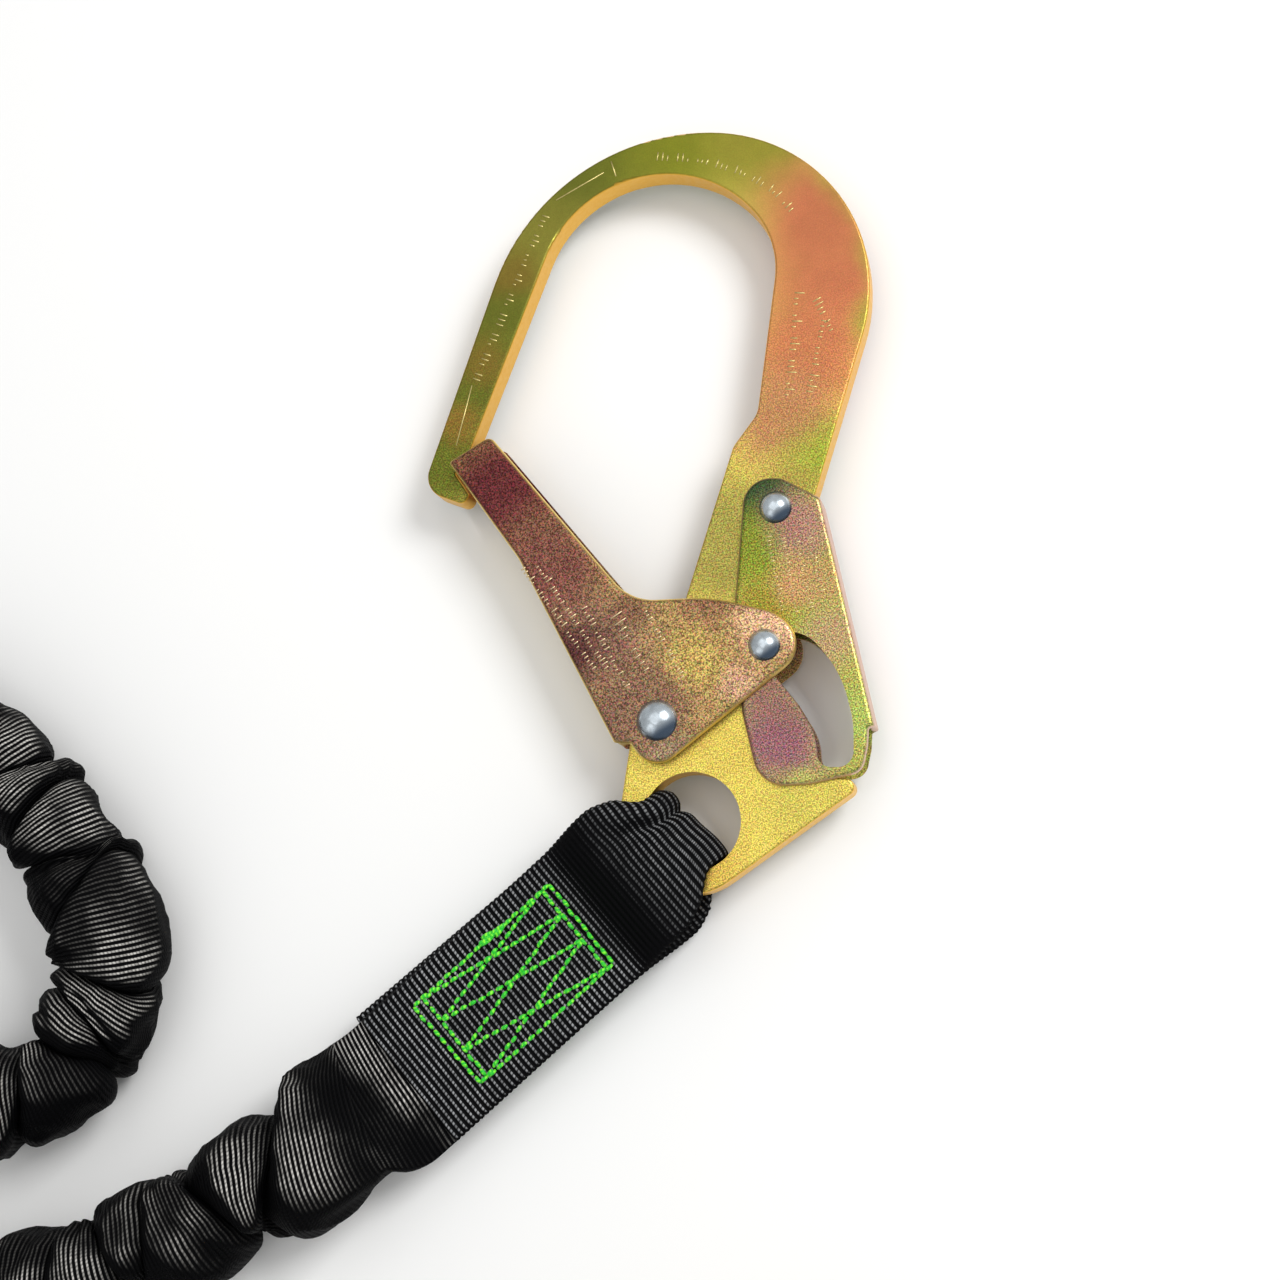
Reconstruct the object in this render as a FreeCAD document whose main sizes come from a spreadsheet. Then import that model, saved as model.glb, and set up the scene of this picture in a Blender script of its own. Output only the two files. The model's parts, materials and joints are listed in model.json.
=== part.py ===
import FreeCAD, Part
import Sketcher
import math
import os

# Shock absorbing lanyard: a large flat rebar hook, a webbing loop sewn round its eye, a ruched
# elastic leg with the energy absorber inside, and a small snap hook for the harness.
# The origin is the centre of the rebar hook's crown, halfway through its plate.
# +Y runs from the hook's eye to its crown, +X towards the spine, and +Z up from the floor
# that the hook lies on. Everything is in millimetres.

Vector = FreeCAD.Vector
doc = FreeCAD.newDocument("Lanyard")

# ---------------------------------------------------------------- driving dimensions
DIMENSIONS = [
    ("plate_thickness", 9.5, "rebar hook's plate"),
    ("plate_round", 0.75, "rounding of the plate's edges"),
    ("crown_radius", 38.1, "inside of the crown, where the anchor sits"),
    ("shoulder_radius", 29.3, "tighter arc between crown and spine"),
    ("eye_x", 0.0, "eye of the rebar hook"),
    ("eye_y", -162.5, "eye of the rebar hook"),
    ("eye_radius", 14.6, "eye of the rebar hook"),
    ("gate_pivot_x", -7.6, "gate pivot"),
    ("gate_pivot_y", -132.5, "gate pivot"),
    ("lock_rivet_x", 25.6, "lock rivet, closed"),
    ("lock_rivet_y", -113.1, "lock rivet, closed"),
    ("lever_pivot_x", 31.5, "lever pivot"),
    ("lever_pivot_y", -71.8, "lever pivot"),
    ("lever_inside", 5.15, "half of the gap between the lever's cheeks"),
    ("lever_outside", 6.95, "half of the lever's width over its cheeks"),
    ("gate_inside", 7.35, "half of the gap between the gate's cheeks"),
    ("gate_outside", 9.35, "half of the gate's width over its cheeks"),
    ("gate_bend", 1.6, "outside rounding of the gate's fold"),
    ("lever_bend", 1.4, "outside rounding of the lever's fold"),
    ("gate_shank", 4.5, "gate pivot rivet's shank radius"),
    ("gate_head", 6.1, "gate pivot rivet's head radius"),
    ("gate_head_rise", 3.4, "gate pivot rivet's head height"),
    ("lock_shank", 2.5, "lock rivet's shank radius"),
    ("lock_head", 4.8, "lock rivet's head radius"),
    ("lock_head_rise", 2.9, "lock rivet's head height"),
    ("lever_shank", 3.5, "lever pivot rivet's shank radius"),
    ("lever_head", 4.9, "lever pivot rivet's head radius"),
    ("lever_head_rise", 3.0, "lever pivot rivet's head height"),
    ("running", 0.08, "radial clearance of a rivet that turns in its bore"),
    ("spacer_radius", 8.2, "outside of the gate's spacer washers"),
    ("spacer_low", 4.95, "inner face of a spacer washer"),
    ("spacer_high", 7.25, "outer face of a spacer washer"),
    ("coil_radius", 9.6, "gate spring's coil, to the middle of its wire"),
    ("coil_wire", 0.8, "gate spring's wire radius"),
    ("coil_level", 6.05, "height of the gate spring's wire"),
    ("leaf_width", 8.0, "lever spring's leaf"),
    ("web_width", 45.0, "webbing"),
    ("loop_end", 113.0, "eye to the cut end of the sewn webbing"),
    ("ply", 3.0, "one ply of webbing"),
    ("rim_gap", 5.2, "half of the gap between the plies at the eye"),
    ("wrap_inside", 11.3, "inner radius of the webbing where it turns in the eye"),
    ("wrap_outside", 14.2, "outer radius of the webbing where it turns in the eye"),
    ("jacket_radius", 18.0, "ruched jacket of the leg"),
    ("jacket_wall", 2.5, "jacket wall"),
    ("core_radius", 10.0, "energy absorber core inside the jacket"),
    ("thread_width", 0.9, "sewing thread, across"),
    ("thread_height", 0.6, "sewing thread, above the webbing"),
    ("floor_z", -12.75, "floor under the rivet heads"),
    ("snap_scale", 0.62, "snap hook's lever as a part of the rebar hook's"),
    ("snap_rivets", 0.75, "snap hook's larger rivets as a part of the rebar hook's"),
    ("snap_thickness", 8.0, "snap hook's plate"),
    ("snap_eye_x", 6.0, "snap hook's eye, from its gate pivot"),
    ("snap_eye_y", -27.0, "snap hook's eye, from its gate pivot"),
    ("snap_eye_radius", 14.6, "snap hook's eye"),
    ("snap_lock_x", 20.6, "snap hook's lock rivet, from its gate pivot"),
    ("snap_lock_y", 12.0, "snap hook's lock rivet, from its gate pivot"),
    ("snap_lever_x", 24.2, "snap hook's lever pivot, from its gate pivot"),
    ("snap_lever_y", 37.6, "snap hook's lever pivot, from its gate pivot"),
    ("snap_gate_bend", 1.4, "outside rounding of the snap gate's fold"),
    ("snap_lever_bend", 1.1, "outside rounding of the snap lever's fold"),
    ("snap_lever_inside", 4.4, "half of the gap between the snap lever's cheeks"),
    ("snap_lever_outside", 5.9, "half of the snap lever's width"),
    ("snap_gate_inside", 6.3, "half of the gap between the snap gate's cheeks"),
    ("snap_gate_outside", 7.8, "half of the snap gate's width"),
]
sheet = doc.addObject("Spreadsheet::Sheet", "Sizes")
for row_number, (alias, value, note) in enumerate(DIMENSIONS, start=1):
    sheet.set(f"A{row_number}", note)
    sheet.set(f"B{row_number}", str(value))
    sheet.setAlias(f"B{row_number}", alias)
doc.recompute()


def size(alias):
    return float(sheet.get(alias))


# ---------------------------------------------------------------- outlines, (x, y, corner radius)
CROWN_START = 155.3
CROWN_TOP = 95.0
CROWN_END = 35.0
SPINE_NORMAL = -11.2
SPINE_RUN = 42.0
NOSE_RUN = 70.3


def tangent_corner(centre, radius, start, end):
    """Corner whose rounding by radius is the arc about centre from start to end, in degrees."""
    middle = math.radians((start + end) / 2)
    reach = radius / math.cos(math.radians((start - end) / 2))
    return (centre[0] + reach * math.cos(middle), centre[1] + reach * math.sin(middle), radius)


def along_tangent(centre, radius, angle, run, sense):
    """Point at run past the arc's end at angle; sense is 1 after a left turn, -1 after a right turn."""
    turn = math.radians(angle)
    x = centre[0] + radius * math.cos(turn) - sense * run * math.sin(turn)
    y = centre[1] + radius * math.sin(turn) + sense * run * math.cos(turn)
    return (x, y)


def crown_corners():
    """Inside of the crown, from the step in the spine round to the end of the nose arm."""
    crown = size("crown_radius")
    shoulder = size("shoulder_radius")
    turn = math.radians(CROWN_END)
    centre = ((crown - shoulder) * math.cos(turn), (crown - shoulder) * math.sin(turn))
    return [
        (*along_tangent(centre, shoulder, SPINE_NORMAL, SPINE_RUN, -1), 8.0),
        tangent_corner(centre, shoulder, CROWN_END, SPINE_NORMAL),
        tangent_corner((0, 0), crown, CROWN_TOP, CROWN_END),
        tangent_corner((0, 0), crown, CROWN_START, CROWN_TOP),
        (*along_tangent((0, 0), crown, CROWN_START, NOSE_RUN, 1), 1.2),
    ]


HOOK_OUTLINE = [
    (-31.8, 57.1, 66.0),
    (84.3, 39.8, 52.7),
    (42.7, -70.4, 10.0),
    (39.4, -92.8, 3.9),
    (16.6, -107.4, 3.5),
    (31.4, -126.8, 30.0),
    (22.5, -148.6, 5.3),
    (52.5, -154.8, 2.6),
    (-31.5, -205.7, 20.8),
    (-16.9, -137.6, 2.4),
    (-19.7, -129.6, 2.0),
    (-3.2, -110.6, 8.1),
    (19.8, -51.2, 6.0),
    *crown_corners(),
    (-67.1, -49.6, 1.2),
    (-62.6, -57.2, 1.5),
    (-64.6, -60.0, 2.4),
    (-77.8, -53.9, 7.0),
]
GATE_OUTLINE = [
    (-67.8, -47.2, 1.0),
    (-54.2, -40.4, 2.5),
    (-13.7, -95.9, 16.6),
    (11.2, -97.2, 59.8),
    (29.8, -103.6, 13.3),
    (39.3, -114.5, 8.9),
    (-10.2, -148.1, 7.7),
    (-16.0, -138.7, 0.9),
    (-21.0, -137.8, 0.9),
    (-47.2, -79.6, 18.6),
]
BEND_REACH = 0.8
GATE_BEND = [(-21.0, -137.8), (-47.2, -79.6), (-67.8, -47.2)]
GATE_GAP = [
    (-63.8, -66.4, 0.0),
    (-55.6, -61.2, 0.0),
    (-45.4, -78.7, 16.6),
    (-19.4, -136.4, 0.0),
    (-26.0, -139.4, 0.0),
    (-26.0, -160.0, 0.0),
    (60.0, -160.0, 0.0),
    (60.0, -20.0, 0.0),
    (-90.0, -20.0, 0.0),
]
LEVER_OUTLINE = [
    (22.9, -61.7, 8.2),
    (33.8, -62.9, 6.0),
    (44.9, -70.2, 2.1),
    (55.6, -139.1, 0.5),
    (53.7, -139.8, 0.9),
    (53.1, -144.7, 1.4),
    (50.9, -152.3, 4.9),
    (35.7, -154.5, 17.3),
    (20.9, -154.2, 9.6),
    (17.3, -132.8, 17.7),
    (16.7, -103.0, 29.9),
]
LEVER_BEND = [(44.9, -70.2), (55.6, -139.1)]
LEVER_GAP = [
    (43.6, -50.0, 0.0),
    (43.6, -66.0, 0.0),
    (53.9, -139.4, 0.0),
    (62.0, -139.4, 0.0),
    (62.0, -170.0, 0.0),
    (5.0, -170.0, 0.0),
    (5.0, -50.0, 0.0),
]
LEVER_SLOT = [
    (22.3, -108.6, 3.0),
    (37.8, -109.8, 11.8),
    (47.1, -122.8, 35.0),
    (49.6, -137.7, 28.9),
    (48.6, -150.7, 4.6),
    (38.1, -149.8, 4.3),
    (38.3, -140.5, 17.4),
    (32.6, -129.4, 17.6),
    (23.0, -115.5, 3.0),
]
LEAF_OUTLINE = [
    (44.35, -80.0, 0.0),
    (46.2, -92.6, 4.0),
    (38.2, -104.0, 0.0),
    (37.6, -103.5, 0.0),
    (45.3, -92.4, 3.4),
    (43.6, -80.1, 0.0),
]

# The snap hook is drawn about its own gate pivot, with its eye below and its crown above.
SNAP_OUTLINE = [
    (-24.0, 86.5, 24.0),
    (31.5, 86.5, 26.0),
    (31.2, 38.5, 8.0),
    (29.1, 24.6, 2.4),
    (15.0, 15.6, 2.4),
    (24.2, 3.5, 17.5),
    (18.7, -10.0, 3.7),
    (37.3, -13.8, 1.7),
    (19.0, -48.5, 14.0),
    (-16.5, -48.5, 20.0),
    (-16.5, -14.0, 6.0),
    (-5.8, -4.5, 2.0),
    (-7.5, 1.8, 1.5),
    (2.7, 13.6, 5.0),
    (17.0, 46.0, 8.0),
    (17.0, 76.5, 14.4),
    (-9.53, 76.5, 14.4),
    (-13.5, 53.5, 0.8),
    (-17.0, 50.5, 0.8),
    (-13.5, 46.5, 1.0),
    (-15.0, 43.5, 2.5),
    (-24.0, 43.5, 5.0),
]
SNAP_GATE_OUTLINE = [
    (-26.5, 51.0, 0.8),
    (-12.0, 55.5, 2.0),
    (-1.5, 24.0, 9.0),
    (11.7, 21.9, 30.0),
    (23.2, 17.9, 8.2),
    (29.1, 11.2, 5.5),
    (-1.6, -9.7, 5.0),
    (-8.0, -4.6, 0.6),
    (-11.0, -3.5, 0.6),
    (-17.5, 24.0, 30.0),
]
SNAP_GATE_BEND = [(-11.0, -3.5), (-17.5, 24.0), (-26.5, 51.0)]
SNAP_GATE_GAP = [
    (-28.0, 40.0, 0.0),
    (-21.0, 40.0, 0.0),
    (-16.0, 24.4, 28.5),
    (-9.6, -2.4, 0.0),
    (-14.0, -4.4, 0.0),
    (-14.0, -20.0, 0.0),
    (40.0, -20.0, 0.0),
    (40.0, 70.0, 0.0),
    (-40.0, 70.0, 0.0),
    (-40.0, 40.0, 0.0),
]

# ---------------------------------------------------------------- the leg's route, on the floor
ARC_SHARE = 0.45
LEG_ROUTE = [
    (-89.5, -231.4),
    (-107.0, -244.9),
    (-129.0, -256.0),
    (-155.0, -263.5),
    (-185.0, -277.0),
    (-219.0, -281.0),
    (-257.0, -298.0),
    (-302.0, -303.0),
    (-336.0, -278.0),
    (-338.0, -236.0),
    (-305.0, -211.0),
    (-265.0, -218.0),
    (-226.0, -234.0),
    (-193.0, -223.0),
    (-178.0, -196.0),
    (-189.0, -165.0),
    (-209.0, -136.0),
    (-236.0, -110.0),
    (-273.0, -98.0),
    (-318.0, -108.0),
    (-354.0, -140.0),
    (-376.0, -186.0),
    (-385.0, -238.0),
    (-379.0, -290.0),
    (-350.0, -333.0),
    (-303.0, -356.0),
    (-252.0, -359.0),
    (-208.0, -368.0),
    (-172.0, -366.0),
]
LOOP_TURN = 217.6
SNAP_LOOP_TURN = 183.3
SNAP_LEVEL = -2.4

# ---------------------------------------------------------------- webbing loops, along their own +X
LOOP_TIP = 9.5
LOOP_SPREAD = 24.0
LOOP_CLOSED = 41.0
WRAP_REACH = 52.0
STITCH_BOX = [(44.0, -15.0), (98.0, -15.0), (98.0, 15.0), (44.0, 15.0)]
STITCH_NEAR = 47.0
STITCH_FAR = 94.5
STITCH_INSIDE = [
    ((STITCH_NEAR, -15.0), (STITCH_NEAR, 15.0)),
    ((STITCH_FAR, -15.0), (STITCH_FAR, 15.0)),
    ((STITCH_FAR, -15.0), (STITCH_NEAR, -5.0)),
    ((STITCH_FAR, -6.0), (STITCH_NEAR, -15.0)),
    ((STITCH_FAR, -6.0), (STITCH_NEAR, 5.0)),
    ((STITCH_FAR, 6.0), (STITCH_NEAR, -5.0)),
    ((STITCH_FAR, 6.0), (STITCH_NEAR, 15.0)),
    ((STITCH_FAR, 15.0), (STITCH_NEAR, 5.0)),
]

# ---------------------------------------------------------------- gate spring
COIL_TURN = 230.0
COIL_SEAT = 205.0
COIL_LEG = 14.0


# ---------------------------------------------------------------- drawing helpers
def placed(x, y, z=0.0, turn=0.0):
    """Placement at (x, y, z), turned about Z by turn degrees."""
    return FreeCAD.Placement(Vector(x, y, z), FreeCAD.Rotation(Vector(0, 0, 1), turn))


def unit(start, end):
    step = end - start
    return step.normalize()


def rounded_edges(corners):
    """Lines and tangent arcs of a closed outline of (x, y, corner radius)."""
    points = [Vector(x, y, 0) for x, y, _ in corners]
    arcs = []
    for index, (_, _, radius) in enumerate(corners):
        here = points[index]
        back = unit(here, points[index - 1])
        ahead = unit(here, points[(index + 1) % len(points)])
        if not radius:
            arcs.append((here, None, here))
            continue
        half = back.getAngle(ahead) / 2
        reach = radius / math.tan(half)
        middle = here + (back + ahead).normalize() * (radius / math.sin(half) - radius)
        arcs.append((here + back * reach, middle, here + ahead * reach))
    edges = []
    for index, (start, middle, end) in enumerate(arcs):
        if middle is not None:
            edges.append(Part.Arc(start, middle, end))
        following = arcs[(index + 1) % len(arcs)][0]
        if end.distanceToPoint(following) > 1e-6:
            edges.append(Part.LineSegment(end, following))
    return edges


def scaled(corners, factor, about):
    """The outline shrunk by factor, drawn about a point that becomes its origin."""
    return [((x - about[0]) * factor, (y - about[1]) * factor, r * factor) for x, y, r in corners]


def new_body(label):
    body = doc.addObject("PartDesign::Body", label)
    body.Label = label
    return body


def new_sketch(body, name, role="XY_Plane", lift=None):
    sketch = body.newObject("Sketcher::SketchObject", name)
    plane = next(item for item in body.Origin.OriginFeatures if item.Role == role)
    sketch.AttachmentSupport = [(plane, "")]
    sketch.MapMode = "FlatFace"
    if lift:
        sketch.setExpression("AttachmentOffset.Base.z", lift)
    return sketch


def outline_sketch(body, name, corners, role="XY_Plane"):
    sketch = new_sketch(body, name, role)
    sketch.addGeometry(rounded_edges(corners))
    return sketch


def add_circle(sketch, x, y, radius):
    """A circle whose centre and radius are expressions on the sheet."""
    number = sketch.addGeometry(Part.Circle(Vector(1, 1, 0), Vector(0, 0, 1), 1.0))
    for kind, expression in (("DistanceX", x), ("DistanceY", y)):
        constraint = sketch.addConstraint(Sketcher.Constraint(kind, -1, 1, number, 3, 1.0))
        sketch.setExpression(f"Constraints[{constraint}]", expression)
    constraint = sketch.addConstraint(Sketcher.Constraint("Radius", number, 1.0))
    sketch.setExpression(f"Constraints[{constraint}]", radius)


def symmetric(body, kind, name, sketch, length):
    """A Pad or a Pocket that runs the same way to both sides of its sketch."""
    feature = body.newObject(f"PartDesign::{kind}", name)
    feature.Profile = sketch
    feature.SideType = "Symmetric"
    feature.setExpression("Length", length)
    doc.recompute()
    return feature


def fillet(body, name, base, radius, wanted):
    """Rounds the edges of base that wanted() accepts."""
    edges = base.Shape.Edges
    names = [f"Edge{number}" for number, edge in enumerate(edges, start=1) if wanted(edge)]
    feature = body.newObject("PartDesign::Fillet", name)
    feature.Base = (base, names)
    feature.setExpression("Radius", radius)
    doc.recompute()
    return feature


def middle_of(edge):
    return edge.valueAt((edge.FirstParameter + edge.LastParameter) / 2)


def lies_flat(edge, level):
    """The edge runs along one of the two faces at plus and minus level."""
    points = (middle_of(edge), edge.valueAt(edge.FirstParameter))
    return all(abs(abs(point.z) - level) < 1e-4 for point in points)


def beside(edge, bend, reach):
    """The edge's middle is within reach of the bend's line, seen from above."""
    point = middle_of(edge)
    flat = Vector(point.x, point.y, 0)
    line = Part.makePolygon([Vector(x, y, 0) for x, y in bend])
    return line.distToShape(Part.Vertex(flat))[0] < reach


# ---------------------------------------------------------------- flat metal parts
def hook_plate(label, outline, thickness, circles):
    """A plate with rounded edges and round holes, halfway about Z = 0."""
    body = new_body(label)
    drawn = outline_sketch(body, f"{label}_outline", outline)
    blank = symmetric(body, "Pad", f"{label}_blank", drawn, f"Sizes.{thickness}")
    half = size(thickness) / 2
    fillet(body, f"{label}_edges", blank, "Sizes.plate_round", lambda edge: lies_flat(edge, half))
    bores = new_sketch(body, f"{label}_bores")
    for circle in circles:
        add_circle(bores, *circle)
    symmetric(body, "Pocket", f"{label}_holes", bores, f"2 * Sizes.{thickness}")
    return body


def folded_channel(label, outline, bend, gap, inside, outside, bend_radius, circles, slot=None):
    """Sheet folded round one edge: two cheeks joined by a web along the bend."""
    body = new_body(label)
    half = size(outside)
    drawn = outline_sketch(body, f"{label}_outline", outline)
    blank = symmetric(body, "Pad", f"{label}_blank", drawn, f"2 * Sizes.{outside}")
    fillet(
        body,
        f"{label}_fold",
        blank,
        f"Sizes.{bend_radius}",
        lambda edge: lies_flat(edge, half) and beside(edge, bend, BEND_REACH),
    )
    inner = outline_sketch(body, f"{label}_inner", gap)
    symmetric(body, "Pocket", f"{label}_channel", inner, f"2 * Sizes.{inside}")
    if slot:
        cut = outline_sketch(body, f"{label}_cut", slot)
        symmetric(body, "Pocket", f"{label}_slot", cut, f"4 * Sizes.{outside}")
    bores = new_sketch(body, f"{label}_bores")
    for circle in circles:
        add_circle(bores, *circle)
    symmetric(body, "Pocket", f"{label}_holes", bores, f"4 * Sizes.{outside}")
    return body


def rivet(label, names, outside, placement, factor=1.0):
    """A round shank with a domed head each side, turned about Z; names are its sizes on the sheet."""
    shank, head, rise = (size(name) * factor for name in names)
    level = size(outside)
    top = level + rise
    sphere = (head**2 + rise**2) / (2 * rise)
    half_turn = math.asin(head / sphere) / 2
    bulge = Vector(sphere * math.sin(half_turn), top - sphere * (1 - math.cos(half_turn)), 0)
    body = new_body(label)
    profile = new_sketch(body, f"{label}_profile", "XZ_Plane")
    profile.addGeometry(
        [
            Part.Arc(Vector(0, -top, 0), Vector(bulge.x, -bulge.y, 0), Vector(head, -level, 0)),
            Part.LineSegment(Vector(head, -level, 0), Vector(shank, -level, 0)),
            Part.LineSegment(Vector(shank, -level, 0), Vector(shank, level, 0)),
            Part.LineSegment(Vector(shank, level, 0), Vector(head, level, 0)),
            Part.Arc(Vector(head, level, 0), bulge, Vector(0, top, 0)),
            Part.LineSegment(Vector(0, top, 0), Vector(0, -top, 0)),
        ]
    )
    turned = body.newObject("PartDesign::Revolution", f"{label}_turned")
    turned.Profile = profile
    turned.ReferenceAxis = (profile, ["V_Axis"])
    turned.Angle = 360
    body.Placement = placement
    doc.recompute()
    return body


def spacers(label, factor, low, high, placement):
    """A washer each side of the plate, round the gate's rivet."""
    rings = []
    for floor_level in (low, f"-({high})"):
        blank = doc.addObject("Part::Cylinder", f"{label}_blank")
        blank.setExpression("Radius", f"Sizes.spacer_radius * {factor}")
        bore = doc.addObject("Part::Cylinder", f"{label}_bore")
        bore.setExpression("Radius", f"(Sizes.gate_shank + Sizes.running) * {factor}")
        for round_solid in (blank, bore):
            round_solid.setExpression("Height", f"{high} - ({low})")
            round_solid.setExpression("Placement.Base.z", floor_level)
        ring = doc.addObject("Part::Cut", f"{label}_ring")
        ring.Base = blank
        ring.Tool = bore
        rings.append(ring)
    group = doc.addObject("Part::Compound", label)
    group.Label = label
    group.Links = rings
    group.Placement = placement
    doc.recompute()
    return group


def coil_spring(label, placement):
    """Torsion spring: most of a turn of wire beside the plate, with a straight leg at each end."""
    radius = size("coil_radius")
    body = new_body(label)
    path = new_sketch(body, f"{label}_path", lift="Sizes.coil_level")
    finish = math.radians(COIL_TURN)
    leave = Vector(radius * math.cos(finish), radius * math.sin(finish), 0)
    ahead = Vector(-math.sin(finish), math.cos(finish), 0)
    middle = Vector(radius * math.cos(finish / 2), radius * math.sin(finish / 2), 0)
    path.addGeometry(
        [
            Part.LineSegment(Vector(radius, -COIL_LEG, 0), Vector(radius, 0, 0)),
            Part.Arc(Vector(radius, 0, 0), middle, leave),
            Part.LineSegment(leave, leave + ahead * COIL_LEG),
        ]
    )
    wire = new_sketch(body, f"{label}_wire", "XZ_Plane")
    wire.AttachmentOffset = FreeCAD.Placement(Vector(0, 0, COIL_LEG), FreeCAD.Rotation())
    add_circle(wire, "Sizes.coil_radius", "Sizes.coil_level", "Sizes.coil_wire")
    swept = body.newObject("PartDesign::AdditivePipe", f"{label}_swept")
    swept.Profile = wire
    swept.Spine = (path, [])
    swept.Transition = "Transformed"
    body.Placement = placement
    doc.recompute()
    return body


def leaf_spring(label, outline, width):
    body = new_body(label)
    drawn = outline_sketch(body, f"{label}_outline", outline)
    symmetric(body, "Pad", f"{label}_leaf", drawn, width)
    return body


# ---------------------------------------------------------------- webbing
def webbing_loop(label, placement):
    """Webbing folded through an eye at its own origin and sewn flat along +X."""
    ply = size("ply")
    gap = size("rim_gap")
    end = size("loop_end")
    body = new_body(label)
    outer = [
        (LOOP_TIP, gap + ply, 0.0),
        (LOOP_SPREAD, gap + ply, 12.0),
        (LOOP_CLOSED, ply, 12.0),
        (end, ply, 0.0),
        (end, -ply, 0.0),
        (LOOP_CLOSED, -ply, 12.0),
        (LOOP_SPREAD, -gap - ply, 12.0),
        (LOOP_TIP, -gap - ply, 0.0),
    ]
    inner = [
        (LOOP_TIP - 5, gap, 0.0),
        (LOOP_SPREAD, gap, 10.0),
        (LOOP_CLOSED, 0.15, 0.0),
        (LOOP_CLOSED, -0.15, 0.0),
        (LOOP_SPREAD, -gap, 10.0),
        (LOOP_TIP - 5, -gap, 0.0),
    ]
    side = outline_sketch(body, f"{label}_side", outer, "XZ_Plane")
    symmetric(body, "Pad", f"{label}_plies", side, "Sizes.web_width")
    between = outline_sketch(body, f"{label}_between", inner, "XZ_Plane")
    symmetric(body, "Pocket", f"{label}_gap", between, "2 * Sizes.web_width")
    wrap = new_sketch(body, f"{label}_wrap")
    reach = math.radians(WRAP_REACH)
    near = size("wrap_inside")
    far = size("wrap_outside")
    corners = [Vector(radius * math.cos(reach), radius * math.sin(reach), 0) for radius in (near, far)]
    below = [Vector(point.x, -point.y, 0) for point in corners]
    wrap.addGeometry(
        [
            Part.Arc(below[1], Vector(far, 0, 0), corners[1]),
            Part.LineSegment(corners[1], corners[0]),
            Part.Arc(corners[0], Vector(near, 0, 0), below[0]),
            Part.LineSegment(below[0], below[1]),
        ]
    )
    symmetric(body, "Pad", f"{label}_turn", wrap, "2 * (Sizes.rim_gap + Sizes.ply)")
    trim = new_sketch(body, f"{label}_trim")
    add_circle(trim, "0", "0", "Sizes.wrap_inside")
    symmetric(body, "Pocket", f"{label}_mouth", trim, "4 * (Sizes.rim_gap + Sizes.ply)")
    body.Placement = placement
    doc.recompute()
    return body


def thread(start, end, level):
    """One run of sewing thread, a flat bar on the webbing's face."""
    width = size("thread_width")
    height = size("thread_height")
    step = end - start
    bar = Part.makeBox(step.Length + width, width, height, Vector(-width / 2, -width / 2, 0))
    turn = math.degrees(math.atan2(step.y, step.x))
    bar.Placement = placed(start.x, start.y, level, turn)
    return bar


def box_stitch(label, placement):
    """Box stitch with crossed runs inside it, on both faces of the sewn webbing."""
    corners = [Vector(x, y, 0) for x, y in STITCH_BOX]
    runs = [(corners[index - 1], corners[index]) for index in range(len(corners))]
    runs += [(Vector(*a, 0), Vector(*b, 0)) for a, b in STITCH_INSIDE]
    faces = []
    for level in (size("ply"), -size("ply") - size("thread_height")):
        bars = [thread(start, end, level) for start, end in runs]
        faces.append(bars[0].multiFuse(bars[1:]).removeSplitter())
    stitches = doc.addObject("Part::Feature", label)
    stitches.Label = label
    stitches.Shape = Part.makeCompound([solid for face in faces for solid in face.Solids])
    stitches.Placement = placement
    return stitches


# ---------------------------------------------------------------- the leg
def leg_path():
    """Straight runs joined by arcs as large as their runs allow, along the leg's route."""
    level = size("floor_z") + size("jacket_radius")
    points = [Vector(x, y, level) for x, y in LEG_ROUTE]
    edges = []
    reached = points[0]
    radii = []
    for before, here, after in zip(points, points[1:], points[2:]):
        back = unit(here, before)
        ahead = unit(here, after)
        half_turn = (math.pi - back.getAngle(ahead)) / 2
        room = ARC_SHARE * min(here.distanceToPoint(before), here.distanceToPoint(after))
        radius = room / math.tan(half_turn)
        radii.append(radius)
        start = here + back * room
        finish = here + ahead * room
        towards = (back + ahead).normalize()
        middle = here + towards * (radius / math.cos(half_turn) - radius)
        edges.append(Part.LineSegment(reached, start).toShape())
        edges.append(Part.Arc(start, middle, finish).toShape())
        reached = finish
    edges.append(Part.LineSegment(reached, points[-1]).toShape())
    print("leg radii", [round(radius, 1) for radius in radii])
    return Part.Wire(edges)


def leg_tube(path, radius):
    """Solid of a round section along the path; its volume must be section times length."""
    start = path.Vertexes[0].Point
    heading = path.Edges[0].tangentAt(path.Edges[0].FirstParameter)
    section = Part.Wire(Part.makeCircle(radius, start, heading))
    solid = path.makePipeShell([section], True, False)
    expected = math.pi * radius**2 * path.Length
    print("leg tube", round(path.Length, 1), round(solid.Volume / expected, 4))
    return solid


def leg_piece(label, shape):
    piece = doc.addObject("Part::Feature", label)
    piece.Label = label
    piece.Shape = shape
    return piece


GATE_RIVET = ("gate_shank", "gate_head", "gate_head_rise")
LOCK_RIVET = ("lock_shank", "lock_head", "lock_head_rise")
LEVER_RIVET = ("lever_shank", "lever_head", "lever_head_rise")

# ---------------------------------------------------------------- rebar hook
eye = (size("eye_x"), size("eye_y"))
gate_pivot = (size("gate_pivot_x"), size("gate_pivot_y"))
lock_rivet = (size("lock_rivet_x"), size("lock_rivet_y"))
lever_pivot = (size("lever_pivot_x"), size("lever_pivot_y"))

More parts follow.
